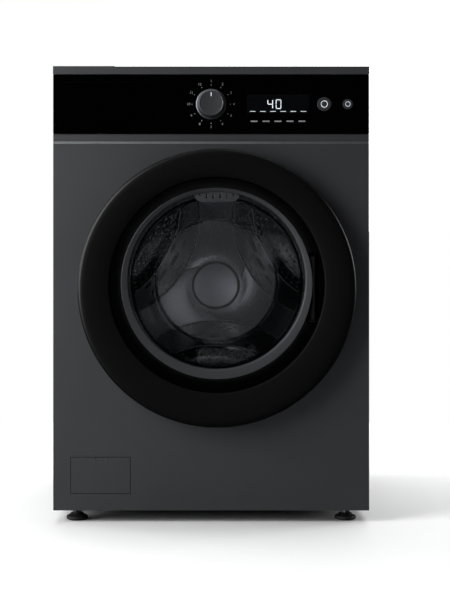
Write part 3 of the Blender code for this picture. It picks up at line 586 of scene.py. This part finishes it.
class WASHER_OT_door_glass(bpy.types.Operator):
    """Models the deep glass bowl"""
    bl_idname = "washer.door_glass"
    bl_label = "Door glass"

    def execute(self, context):
        face, rim_front, rise = BOWL_HIGH.y, BOWL_LOW.y + HAIR, BOWL_RISE
        outline = [(0.0, face - 0.0040), (0.1320, face - 0.0040), (0.1350, face - 0.0045),
                   (0.1370, face - 0.0058), (0.1383, face - 0.0082), (0.1394, face - 0.0140),
                   (0.1452, face - 0.0360), (0.1622, face - 0.0780), (0.1790, face - 0.1130),
                   (0.1812, face - 0.1200), (0.1830, rim_front), (0.2003, rim_front),
                   (0.2003, rim_front + 0.0036), (0.1872, rim_front + 0.0038), (0.1858, face - 0.1190),
                   (0.1834, face - 0.1110), (0.1660, face - 0.0766), (0.1488, face - 0.0346),
                   (0.1430, face - 0.0140), (0.1421, face - 0.0080), (0.1403, face - 0.0035),
                   (0.1370, face - 0.0008), (0.1325, face), (0.0, face)]
        bowl = turned("door_glass_bowl", [(r, y, rise) for r, y in outline], steps=144)
        dress(bowl, "clear_glass", "door", 50, ["door_glass"])
        return {"FINISHED"}


class WASHER_OT_gasket(bpy.types.Operator):
    """Models the rubber bellows between the panel's mouth and the tub"""
    bl_idname = "washer.gasket"
    bl_label = "Door gasket"

    def execute(self, context):
        low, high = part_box("door_gasket")
        front, rear, wall = low.y, high.y, 0.0022
        folds = [(0.2132, 0.002), (0.2136, 0.010), (0.2128, 0.016), (0.2096, 0.0205), (0.2072, 0.026),
                 (0.2084, 0.031), (0.2130, 0.0345), (0.2168, 0.038), (0.2196, 0.043), (0.2202, 0.050),
                 (0.2200, 0.0572)]
        outer = [(radius, front + depth) for radius, depth in folds]
        inner = [(radius - wall, y) for radius, y in reversed(outer)]
        lips = [(0.2060, front + 0.0005), (0.2054, front + 0.0018), (0.2070, front + 0.0024)]
        bellows = turned("door_bellows", outer + inner + lips[::-1] + [(0.2100, front)], steps=128)
        dress(bellows, "grey_rubber", None, 40, ["door_gasket"])
        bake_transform(bellows)
        return {"FINISHED"}


# ---------------------------------------------------------------- drum

class WASHER_OT_drum_wall(bpy.types.Operator):
    """Models the drum's wall as a sheet of pierced cells rolled into a cylinder, and its front lip"""
    bl_idname = "washer.drum_wall"
    bl_label = "Drum wall"

    def execute(self, context):
        settings = context.scene.washer
        radius = DRUM_RADIUS - 1.4 * MM
        columns = round(math.tau * radius / settings.hole_pitch)
        pitch = math.tau * radius / columns
        length = DRUM_HIGH.y - DRUM_LOW.y - 0.010
        rows = round(length / pitch)
        row_pitch = length / rows
        select_none()
        bpy.ops.mesh.primitive_circle_add(vertices=8, radius=settings.hole_size / 2)
        sheet = bpy.context.object
        open_edit(sheet)
        bpy.ops.mesh.extrude_edges_move(TRANSFORM_OT_translate={"value": (0, 0, settings.rim_height)})
        bpy.ops.transform.resize(value=(settings.rim_width,) * 2 + (1.0,))
        bpy.ops.mesh.extrude_edges_move(TRANSFORM_OT_translate={"value": (0, 0, -settings.rim_height)})
        close_edit()
        for vertex in sheet.data.vertices:
            if vertex.select:
                vertex.co *= 0.5 / max(abs(vertex.co.x), abs(vertex.co.y))
                vertex.co = Vector((vertex.co.x * pitch, vertex.co.y * row_pitch, 0.0))
        for count, step in ((columns, (pitch, 0, 0)), (rows, (0, row_pitch, 0))):
            apply_modifier(sheet, "ARRAY", count=count, use_relative_offset=False, use_constant_offset=True,
                           constant_offset_displace=step, use_merge_vertices=True, merge_threshold=1e-5)
        start = DRUM_HIGH.y - row_pitch * (rows - 0.5) - 0.0005
        for vertex in sheet.data.vertices:
            angle, y = vertex.co.x / radius, vertex.co.y + start
            bead = 0.0018 * max(0.0, math.cos(math.tau * (y - start) / (row_pitch * 4))) ** 6
            vertex.co = around(angle, radius - bead - vertex.co.z, y)
        open_edit(sheet)
        bpy.ops.mesh.remove_doubles(threshold=1e-5)
        bpy.ops.mesh.normals_make_consistent(inside=False)
        close_edit()
        apply_modifier(sheet, "SOLIDIFY", thickness=0.0010, offset=0.0)
        settle(sheet, "drum_wall")
        dress(sheet, "stainless_steel", "drum", 30, ["drum_shell"])
        front, outer, lip = DRUM_LOW.y, DRUM_RADIUS - HAIR, 0.2062
        outline = [(outer, front + 0.0105), (outer, front + 0.0080), (outer - 0.0030, front + 0.0028),
                   (outer - 0.0085, front), (lip + 0.0140, front), (lip + 0.0090, front + 0.0016),
                   (lip + 0.0050, front), (lip + 0.0010, front + 0.0004), (lip, front + 0.0020),
                   (lip + 0.0015, front + 0.0032), (lip + 0.0052, front + 0.0018),
                   (lip + 0.0090, front + 0.0034), (lip + 0.0140, front + 0.0018),
                   (outer - 0.0095, front + 0.0018), (outer - 0.0045, front + 0.0040),
                   (outer - 0.0018, front + 0.0088), (outer - 0.0018, front + 0.0105)]
        dress(turned("drum_front_lip", outline), "stainless_steel", "drum", 35)
        return {"FINISHED"}


class WASHER_OT_drum_back(bpy.types.Operator):
    """Models the drum's back in three overlapping petals, and the brushed hub"""
    bl_idname = "washer.drum_back"
    bl_label = "Drum back"

    def execute(self, context):
        low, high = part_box("drum_back")
        rear, thick = high.y, 0.0012
        profile = [(0.0, -0.0112), (0.0640, -0.0112), (0.2050, -0.0022), (0.2150, -0.0036), (0.2250, -0.0036),
                   (0.2350, -0.0020), (DRUM_RADIUS - HAIR, -0.0020)]
        slope = [(0.0640 + 0.0088 * number, -0.0112 + 0.0090 * number / 16) for number in range(1, 16)]
        outline = [(radius, rear + depth) for radius, depth in profile[:2] + slope + profile[2:]]
        outline += [(radius, y + thick) for radius, y in reversed(outline)]
        back = turned("drum_back_petals", outline, steps=180)
        hub, petal_start, petal_reach, petal_rise = 0.0560, 102.0, 0.146, 0.0110
        rim, fade = 0.212, 0.020                       # where the petals end, and how far they fade before it
        for vertex in back.data.vertices:
            reach = vertex.co - Vector((DRUM_LINE.x, vertex.co.y, DRUM_LINE.z))
            radius = reach.length
            if not hub < radius < rim:
                continue
            turn = (math.degrees(math.atan2(reach.z, reach.x)) - petal_start) % 120.0 / 120.0
            swell = math.sin(math.pi * min(1.0, max(0.0, (radius - hub - 0.010) / petal_reach)))
            height = vertex.co.y - petal_rise * turn * swell ** 0.6
            swirl = math.acos(min(1.0, hub / radius)) * min(1.0, (rim - radius) / fade)
            vertex.co = around(math.atan2(reach.z, reach.x) + swirl, radius, height)
        dress(back, "stainless_steel", "drum", 30, ["drum_back"])
        low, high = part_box("drum_hub_cap")
        outline = [(0.0, low.y), (0.0535, low.y), (0.0548, low.y + 0.0006), (0.0553, low.y + 0.0016),
                   (0.0562, low.y + 0.0026), (0.0600, high.y - 0.0012), (0.0608, high.y - HAIR),
                   (0.0, high.y - HAIR)]
        dress(turned("hub_disc", outline, steps=128), "hub_steel", "drum", 30, ["drum_hub_cap"])
        return {"FINISHED"}


class WASHER_OT_lifters(bpy.types.Operator):
    """Models one lifter with its bubble pattern and copies it round the drum"""
    bl_idname = "washer.lifters"
    bl_label = "Drum lifters"

    # Cuts from front to back: (y, crest's distance from the drum line, half width)
    CUTS = [(-0.2355, 0.2160, 0.079), (-0.2330, 0.2040, 0.090), (-0.2220, 0.1700, 0.125),
            (-0.2110, 0.1540, 0.138), (-0.2000, 0.1437, 0.146), (-0.1930, 0.1385, 0.149),
            (-0.1900, 0.1352, 0.1495), (-0.1870, 0.1352, 0.1500), (-0.1840, 0.1376, 0.1502),
            (-0.1600, 0.1338, 0.1522), (-0.1000, 0.1256, 0.1577), (-0.0400, 0.1174, 0.1631),
            (0.0200, 0.1093, 0.1686), (0.0800, 0.1012, 0.1740), (0.1300, 0.0944, 0.1785),
            (0.1570, 0.0908, 0.1810), (0.1590, 0.0886, 0.1812), (0.1630, 0.0882, 0.1815),
            (0.1655, 0.0898, 0.1818), (0.1678, 0.0930, 0.1820)]
    FOOT = 0.2413
    SWELL = 2.2

    def execute(self, context):
        points = 16
        steps = [place / points for place in range(-points, points + 1)]
        under = [0.8, 0.4, 0.0, -0.4, -0.8]
        select_none()
        bpy.ops.mesh.primitive_circle_add(vertices=len(steps) + len(under), radius=0.1, fill_type="NGON")
        lifter = bpy.context.object
        open_edit(lifter)
        for number in range(len(self.CUTS) - 1):
            bpy.ops.mesh.extrude_region_move(TRANSFORM_OT_translate={"value": (0, 0, MM)})
        close_edit()
        vertices = lifter.data.vertices
        for number, (y, crest, half) in enumerate(self.CUTS):
            loop = [vertex for vertex in vertices if round(vertex.co.z / MM) == number]
            loop.sort(key=lambda vertex: math.atan2(vertex.co.y, vertex.co.x))
            places = [(half * step, self.height(half * step, crest, half)) for step in steps]
            places += [(half * step, math.sqrt(self.FOOT ** 2 - (half * step) ** 2)) for step in under]
            for vertex, (offset, height) in zip(loop, places):
                vertex.co = (DRUM_LINE.x + offset, y, DRUM_LINE.z - height)
        open_edit(lifter)
        bpy.ops.mesh.normals_make_consistent(inside=False)
        close_edit()
        carve(lifter, [self.bubble(offset, y, size) for offset, y, size in self.bubble_places()])
        settle(lifter, "lifter_bottom")
        studs = join("studs_bottom", [self.stud(offset, y) for offset, y in self.stud_places()])
        beads = join("beads_bottom", [self.bead(y) for y in (-0.1885, 0.1610)])
        for number, (side, degrees) in enumerate((("bottom", 0), ("right", 120), ("left", 240)), start=1):
            piece, row, lines = lifter, studs, beads
            if degrees:
                turn = spin_about_drum(degrees)
                piece, row, lines = (duplicate(first, f"{first.name.split('_')[0]}_{side}", turn)
                                     for first in (lifter, studs, beads))
            dress(piece, "grey_plastic", "drum", 35, [f"drum_lifter_{number}"])
            dress(row, "stainless_steel", "drum", 60)
            # The beads' white is a painted highlight: bright lines along each lifter's front and back edges
            dress(lines, "white_plastic", "drum", 60)
        return {"FINISHED"}

    def bead(self, y):
        """A thin smooth bead along the lifter's edge at that depth; its white is a painted highlight line."""
        half = 0.93 * (0.1495 if y < 0 else 0.1815)
        return wire("bead", [self.spot(half * (number / 20 - 1), y, 0.0003) for number in range(41)], 0.0013)

    def height(self, offset, crest, half):
        """Distance of the lifter's face from the drum line's level, at an offset from its middle."""
        rim = math.sqrt(self.FOOT ** 2 - half ** 2)
        return crest + (rim - crest) * (abs(offset) / half) ** self.SWELL

    def spot(self, offset, y, depth=0.0):
        """A point on the bottom lifter's face, sunk by a depth."""
        for (near, crest, half), (far, next_crest, next_half) in zip(self.CUTS, self.CUTS[1:]):
            if near <= y <= far:
                share = (y - near) / (far - near)
                crest, half = crest + (next_crest - crest) * share, half + (next_half - half) * share
                height = self.height(offset, crest, half)
                return Vector((DRUM_LINE.x + offset, y, DRUM_LINE.z - height - depth))
        raise ValueError(f"no lifter face at {y}")

    def bubble_places(self):
        large = [(-0.007, -0.045, 0.0190), (0.044, -0.070, 0.0220), (-0.050, -0.010, 0.0150),
                 (0.086, 0.010, 0.0170), (-0.030, -0.140, 0.0150), (0.078, -0.130, 0.0140)]
        small = [(-0.006, 0.107, 0.0062), (0.005, 0.097, 0.0055), (0.014, 0.069, 0.0070),
                 (0.024, 0.100, 0.0066), (0.034, 0.111, 0.0058), (0.034, 0.062, 0.0066),
                 (0.048, 0.088, 0.0072), (0.060, 0.054, 0.0060), (-0.022, 0.080, 0.0050),
                 (0.020, 0.028, 0.0060), (0.018, -0.016, 0.0055), (0.066, -0.012, 0.0060),
                 (-0.030, 0.044, 0.0055), (0.014, -0.110, 0.0062), (0.034, -0.140, 0.0052),
                 (0.098, 0.080, 0.0062)]
        return large + small

    def bubble(self, offset, y, size):
        """A long oval cutter that sinks a recess into the face."""
        fine = size > 0.01
        select_none()
        bpy.ops.mesh.primitive_uv_sphere_add(segments=32 if fine else 16, ring_count=16 if fine else 8,
                                             radius=1.0, location=self.spot(offset, y, -size * 0.10),
                                             rotation=(math.atan2(-0.048, 0.353), 0, 0),
                                             scale=(size, size * 2.2, size * 0.55))
        return settle(bpy.context.object, "bubble")

    def stud_places(self):
        rows = [(0.1500, 0.0, 9), (0.1330, 0.5, 9), (-0.2300, 0.0, 6), (-0.2255, 0.5, 7), (-0.2195, 0.0, 8),
                (-0.2110, 0.5, 9), (-0.2010, 0.0, 9)]
        return [((number + shift) * 0.0155, y) for y, shift, reach in rows for number in range(-reach, reach)]

    def stud(self, offset, y):
        """A small raised dome with a few dozen faces."""
        select_none()
        bpy.ops.mesh.primitive_uv_sphere_add(segments=8, ring_count=5, radius=0.0030,
                                             location=self.spot(offset, y, 0.0006))
        return settle(bpy.context.object, "stud")


# ---------------------------------------------------------------- controls

class WASHER_OT_controls(bpy.types.Operator):
    """Models the gloss fascia with its display, knob, keys and drawer front"""
    bl_idname = "washer.controls"
    bl_label = "Controls"

    def execute(self, context):
        low, high = FASCIA_LOW, FASCIA_HIGH
        face, level = low.y, middle("program_knob").z
        fascia = block("fascia_skin", low, high, 0.0018, 3)
        drawer_low, drawer_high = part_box("drawer_front")
        knob_low, knob_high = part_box("program_knob")
        cutters = [block("drawer_gap", (drawer_low.x - 0.0006, face - PAST, drawer_low.z - 0.0006),
                         (drawer_high.x + 0.0006, high.y + PAST, drawer_high.z + 0.0006)),
                   rod("knob_gap", (middle("program_knob").x, face - PAST, level),
                       (middle("program_knob").x, high.y + PAST, level), 0.0058, 32)]
        for name in ("start_button", "power_button"):
            key_low, key_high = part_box(name)
            radius = (key_high.x - key_low.x) / 2
            at = middle(name)
            cutters.append(rod("key_gap", (at.x, face - PAST, level), (at.x, high.y + PAST, level),
                               radius + 0.0006, 64))
            key = rod(f"{name}_cap", (at.x, key_high.y, level), (at.x, key_low.y, level), radius, 64, 0.0010)
            dress(key, "trim_metal", BODY_OF[name], 30, [name])
            front, back = key_low.y - 0.00015, key_low.y + 0.0003
            inner, outer = radius * 0.42, radius * 0.50
            mark = turned(f"{name}_mark", [(inner, front), (outer, front), (outer, back), (inner, back)],
                          (at.x, 0, level), 48)
            dress(mark, "display_digit", BODY_OF[name])
        carve(fascia, cutters)
        dress(fascia, "gloss_black", "cabinet", 30, ["control_fascia"])
        self.drawer(drawer_low, drawer_high)
        self.knob(knob_low, knob_high, face, level)
        self.display(face, level)
        return {"FINISHED"}

    def drawer(self, low, high):
        front = block("drawer_front_skin", low, high, 0.0010, 3)
        centre = (low.x + high.x) / 2
        carve(front, [block("drawer_grip", (centre - 0.046, low.y - 0.01, low.z - 0.01),
                            (centre + 0.046, low.y + 0.0040, low.z + 0.0135), 0.003, 3)])
        dress(front, "gloss_black", "drawer", 30, ["drawer_front"])

    def knob(self, low, high, face, level):
        x, radius, tip = middle("program_knob").x, (high.x - low.x) / 2, low.y
        dial = Vector((x, 0, level))
        outline = [(0.0, tip + 0.0012), (radius * 0.70, tip + 0.0008), (radius * 0.76, tip),
                   (radius * 0.82, tip + 0.0004), (radius * 0.86, tip + 0.0020),
                   (radius * 0.88, tip + 0.0060), (radius * 0.92, face - 0.0040), (radius, face - 0.0030),
                   (radius, face - 0.0006), (0.0044, face - 0.0006), (0.0044, high.y), (0.0, high.y)]
        knob = turned("dial_skin", outline, dial, 96)
        flutes = []
        for number in range(36):
            angle = math.tau * number / 36
            flutes.append(rod("flute", around(angle, radius * 0.925, tip - 0.002, dial),
                              around(angle, radius * 0.925, face - 0.005, dial), 0.0016, 8))
        carve(knob, [join("flutes", flutes)])
        dress(knob, "trim_metal", "knob", 30, ["program_knob"])
        pointer = block("dial_pointer", (x - 0.0008, tip + 0.0002, level + radius * 0.45),
                        (x + 0.0008, tip + 0.0016, level + radius * 0.68), 0.0003)
        dress(pointer, "display_digit", "knob")
        marks = []
        for number in range(12):
            angle = math.radians(90 - 30 * number)
            marks.append(rod("dial_dot", around(angle, DOT_CIRCLE, face + 0.0003, dial),
                             around(angle, DOT_CIRCLE, face - 0.0002, dial), 0.0010, 16))
        dress(join("dial_dots", marks), "grey_ink", "cabinet")
        for number in range(12):
            angle = math.radians(90 - 30 * number)
            select_none()
            bpy.ops.object.text_add()
            text = bpy.context.object
            text.data.body, text.data.size, text.data.extrude = str(number + 1), 0.0075, 0.00012
            text.data.align_x, text.data.align_y = "CENTER", "CENTER"
            bpy.ops.object.convert(target="MESH")
            text.rotation_euler = (math.radians(90), 0, 0)
            text.location = around(angle, NUMBER_CIRCLE, face - 0.0001, dial)
            dress(settle(text, f"dial_number_{number + 1}"), "grey_ink", "cabinet", 0)

    def display(self, face, level):
        left, right, half = 0.078, 0.212, 0.020
        lens = block("display_lens", (left, face - 0.0006, level - half),
                     (right, face + 0.0010, level + half), 0.0005)
        dress(lens, "display_lens", "cabinet")
        bars = {"top": (0, 1, True), "middle": (0, 0, True), "bottom": (0, -1, True),
                "upper_left": (-1, 0.5, False), "upper_right": (1, 0.5, False),
                "lower_left": (-1, -0.5, False), "lower_right": (1, -0.5, False)}
        digits = {"4": ("middle", "upper_left", "upper_right", "lower_right"),
                  "0": ("top", "bottom", "upper_left", "upper_right", "lower_left", "lower_right")}
        pieces = []
        for place, digit in enumerate("40"):
            centre = 0.128 + 0.018 * place
            for name in digits[digit]:
                across, up, flat = bars[name]
                wide, tall = (0.0046, 0.0009) if flat else (0.0009, 0.0040)
                at = (centre + across * 0.0052, level + up * 0.0094)
                pieces.append(block("bar", (at[0] - wide, face - 0.0009, at[1] - tall),
                                    (at[0] + wide, face - 0.0005, at[1] + tall)))
        for number in range(6):
            at = left + 0.012 + 0.022 * number
            pieces.append(block("bar", (at - 0.006, face - 0.0009, level - 0.0162),
                                (at + 0.006, face - 0.0005, level - 0.0152)))
        dress(join("display_light", pieces), "display_digit", "cabinet", 0)
        keys = []
        for number in range(5):
            at = left + 0.015 + 0.026 * number
            keys.append(block("touch_key", (at - 0.0075, face - 0.0004, level - 0.0385),
                              (at + 0.0075, face + 0.0005, level - 0.0355), 0.0003))
        dress(join("touch_keys", keys), "grey_ink", "cabinet")


# ---------------------------------------------------------------- cabinet

class WASHER_OT_cabinet(bpy.types.Operator):
    """Models the folded steel skins: front panel, strip, sides, cover, service flap and rear panel"""
    bl_idname = "washer.cabinet"
    bl_label = "Cabinet"

    def execute(self, context):
        low, high = PANEL_LOW, Vector((PANEL_HIGH.x, PANEL_Y + 0.0015, PANEL_HIGH.z))
        panel = block("front_panel_skin", low, high)
        flap_low, flap_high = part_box("service_flap")
        latch = middle("latch_hook")
        carve(panel, [
            rod("mouth", (DRUM_LINE.x, low.y - PAST, DRUM_LINE.z), (DRUM_LINE.x, 0, DRUM_LINE.z),
                MOUTH_RADIUS, RING_STEPS),
            block("flap_gap", (flap_low.x - 0.0008, low.y - PAST, flap_low.z - 0.0009),
                  (flap_high.x + 0.0008, 0, flap_high.z + 0.0008)),
            block("latch_gap", (latch.x - 0.0085, low.y - PAST, latch.z - 0.0165),
                  (latch.x + 0.0070, 0, latch.z + 0.0165))])
        break_edges(panel, 0.0005, 1)
        dress(panel, "graphite_paint", "cabinet", 30, ["front_panel"])
        collar = [(0.2149, low.y + 0.0004), (0.2164, low.y + 0.0004), (0.2164, -0.3252), (0.2149, -0.3252)]
        dress(turned("mouth_collar", collar), "graphite_paint", "cabinet", 30)
        for node, rounding in (("fascia_trim_strip", 0.0005), ("left_side_panel", 0.0006),
                               ("right_side_panel", 0.0006)):
            skin = block(f"{node}_skin", *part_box(node), rounding)
            dress(skin, "graphite_paint", "cabinet", 30, [node])
        low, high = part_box("top_cover")
        cover = block("top_cover_skin", low, high)
        carve(cover, [block("cover_hollow", (low.x + 0.002, low.y + 0.002, low.z - 0.01),
                            (high.x - 0.002, high.y - 0.002, high.z - 0.0015))])
        break_edges(cover, 0.0007, 2)
        dress(cover, "graphite_paint", "cabinet", 30, ["top_cover"])
        flap = block("service_flap_skin", flap_low, flap_high, 0.0008)
        notch_x = (flap_low.x + flap_high.x) / 2
        carve(flap, [block("flap_notch", (notch_x - 0.012, flap_low.y - 0.01, flap_high.z - 0.006),
                           (notch_x + 0.012, flap_low.y + 0.0016, flap_high.z + 0.01), 0.002)])
        dress(flap, "graphite_paint", "flap", 30, ["service_flap"])
        self.rear(*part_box("rear_panel"))
        return {"FINISHED"}

    def rear(self, low, high):
        """The rear sheet with a pressed service cover, vents, transport bolt caps and screws."""
        panel = block("rear_panel_skin", low, high)
        holes = [(0.220, 0.900, 0.016), (0.280, 0.900, 0.016), (0.296, 0.800, 0.0112), (-0.290, 0.860, 0.016)]
        vents = [block("vent_gap", (-0.090 + 0.024 * place, low.y - PAST, 0.800),
                       (-0.078 + 0.024 * place, high.y + PAST, 0.850)) for place in range(8)]
        gaps = [rod("rear_gap", (x, low.y - PAST, z), (x, high.y + PAST, z), radius, 48)
                for x, z, radius in holes]
        carve(panel, gaps + [join("vent_gaps", vents)])
        dress(panel, "galvanised_steel", "cabinet", 30, ["rear_panel"])
        cover = block("rear_service_cover", (-0.205, high.y + HAIR, 0.300), (0.205, high.y + 0.0012, 0.740))
        open_edit(cover, "DESELECT")
        bpy.ops.mesh.select_mode(type="FACE")
        close_edit()
        for face in cover.data.polygons:
            face.select = face.normal.y > 0.9
        bpy.ops.object.mode_set(mode="EDIT")
        bpy.ops.mesh.inset(thickness=0.018, depth=0.0)
        bpy.ops.mesh.inset(thickness=0.008, depth=0.006)
        bpy.ops.mesh.inset(thickness=0.030, depth=0.0)
        bpy.ops.mesh.inset(thickness=0.005, depth=-0.003)
        bpy.ops.mesh.select_mode(type="VERT")
        close_edit()
        dress(cover, "galvanised_steel", "cabinet", 30)
        spots = [(x, z) for x in (-0.196, 0.0, 0.196) for z in (0.309, 0.731)]
        spots += [(x, 0.520) for x in (-0.196, 0.196)]
        spots += [(x, z) for x in (-0.325, 0.325) for z in (0.060, 0.350, 0.650, 0.940)]
        screws = [screw(x, high.y + (0.0012 if abs(x) < 0.2 else HAIR), z) for x, z in spots]
        dress(join("rear_screws", screws), "zinc_plate", "cabinet")
        caps = [rod("bolt_cap", (x, high.y + HAIR, z), (x, high.y + 0.004, z), 0.017, 40, 0.0015)
                for x, z in ((-0.250, 0.240), (0.250, 0.240), (-0.250, 0.790), (0.235, 0.720))]
        dress(join("transport_bolt_caps", caps), "black_plastic", "cabinet")


def screw(x, y, z, radius=0.0042):
    """A pan-head screw that stands on a face towards +Y, with a cross recess."""
    head = rod("screw", (x, y, z), (x, y + 0.0022, z), radius, 20, 0.0009)
    reach = radius * 0.62
    carve(head, [block("slot", (x - reach, y + 0.0012, z - 0.0006), (x + reach, y + 0.01, z + 0.0006)),
                 block("slot", (x - 0.0006, y + 0.0012, z - reach), (x + 0.0006, y + 0.01, z + reach))])
    return head


class WASHER_OT_feet(bpy.types.Operator):
    """Models the four levelling feet with their lock nuts"""
    bl_idname = "washer.feet"
    bl_label = "Feet"

    def execute(self, context):
        for node in [name for name in SLOT_OF if name.startswith("foot_")]:
            at, top = middle(node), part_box(node)[1].z
            outline = [(0.0, 0.0), (0.0205, 0.0), (0.0222, 0.0008), (0.0236, 0.0030), (0.0232, 0.0070),
                       (0.0215, 0.0090), (0.0150, 0.0115), (0.0140, 0.0140), (0.0, 0.0140)]
            pad = turned(f"{node}_pad", outline, (at.x, at.y, 0), 64, "Z")
            dress(pad, "black_rubber", BODY_OF[node], 35, [node])
            threads = [(0.0, 0.0142)]
            for turn in range(24):
                root = 0.0142 + 0.0015 * turn
                threads += [(0.0048, root), (0.0054, root + 0.00075)]
            threads += [(0.0048, top), (0.0, top)]
            stem = turned(f"{node}_stem", threads, (at.x, at.y, 0), 32, "Z")
            dress(stem, "zinc_plate", BODY_OF[node], 35)
            nut = rod(f"{node}_nut", (at.x, at.y, 0.0145), (at.x, at.y, 0.0205), 0.0110, 6, 0.0008)
            carve(nut, [rod("nut_bore", (at.x, at.y, 0.0), (at.x, at.y, 0.04), 0.0057, 24)])
            dress(nut, "zinc_plate", BODY_OF[node], 30)
        return {"FINISHED"}


# ---------------------------------------------------------------- inside

class WASHER_OT_springs_and_hoses(bpy.types.Operator):
    """Models the coil springs and the corrugated hoses that run between cabinet and tub"""
    bl_idname = "washer.springs_and_hoses"
    bl_label = "Springs and hoses"

    def execute(self, context):
        turns = context.scene.washer.spring_turns
        for node in ("spring_left", "spring_right"):
            low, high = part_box(node)
            at, thick, corners = middle(node), 0.0016, 14
            radius, count = (high.x - low.x) / 2 - thick, turns * corners
            places = []
            for number in range(count + 1):
                angle = math.tau * number / corners
                places.append((at.x + radius * math.cos(angle), at.y + radius * math.sin(angle),
                               low.z + thick + (high.z - low.z - 2 * thick) * number / count))
            coil = wire(f"{node}_coil", places, thick)
            dress(coil, "zinc_plate", None, 40, [node])
            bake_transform(coil)
        for node, top_is_fixed in (("dispenser_hose", True), ("tub_pump_hose", False)):
            low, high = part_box(node)
            at, outer = middle(node), (high.x - low.x) / 2
            folds = max(4, round((high.z - low.z) / 0.008))
            step = (high.z - low.z) / folds
            skin = [(outer - (0.0028 if half % 2 else 0.0), low.z + step * half / 2)
                    for half in range(2 * folds + 1)]
            hose = turned(f"{node}_bellows", skin + [(radius - 0.002, z) for radius, z in reversed(skin)],
                          (at.x, at.y, 0), 40, "Z")
            dress(hose, "black_rubber", None, 40, [node])
            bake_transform(hose)
        return {"FINISHED"}


class WASHER_OT_carried_parts(bpy.types.Operator):
    """Gives every remaining frame part its own finish"""
    bl_idname = "washer.carried_parts"
    bl_label = "Carried-over parts"

    def execute(self, context):
        for node, part in frame["nodes"].items():
            part.data.materials.clear()
            part.data.materials.append(MATERIALS[SLOT_OF[node]])
        return {"FINISHED"}


# ---------------------------------------------------------------- panel and registration

STEPS = [WASHER_OT_carried_parts, WASHER_OT_door_rings, WASHER_OT_door_glass, WASHER_OT_gasket,
         WASHER_OT_drum_wall, WASHER_OT_drum_back, WASHER_OT_lifters, WASHER_OT_controls, WASHER_OT_cabinet,
         WASHER_OT_feet, WASHER_OT_springs_and_hoses, WASHER_OT_stage]


class WASHER_PT_tools(bpy.types.Panel):
    """Lists the steps that finish the washing machine"""
    bl_label = "Washing Machine"
    bl_idname = "WASHER_PT_tools"
    bl_space_type = "VIEW_3D"
    bl_region_type = "UI"
    bl_category = "Washer"

    def draw(self, context):
        for name in WasherSettings.__annotations__:
            self.layout.prop(context.scene.washer, name)
        for step in STEPS:
            self.layout.operator(step.bl_idname)


def register():
    for group in [WasherSettings, *STEPS, WASHER_PT_tools]:
        bpy.utils.register_class(group)
    bpy.types.Scene.washer = PointerProperty(type=WasherSettings)


def unregister():
    del bpy.types.Scene.washer
    for group in [WASHER_PT_tools, *reversed(STEPS), WasherSettings]:
        bpy.utils.unregister_class(group)


def main():
    register()
    MATERIALS.update(make_materials())
    for step in STEPS:
        getattr(bpy.ops.washer, step.bl_idname.split(".")[1])()


if __name__ == "__main__":
    main()
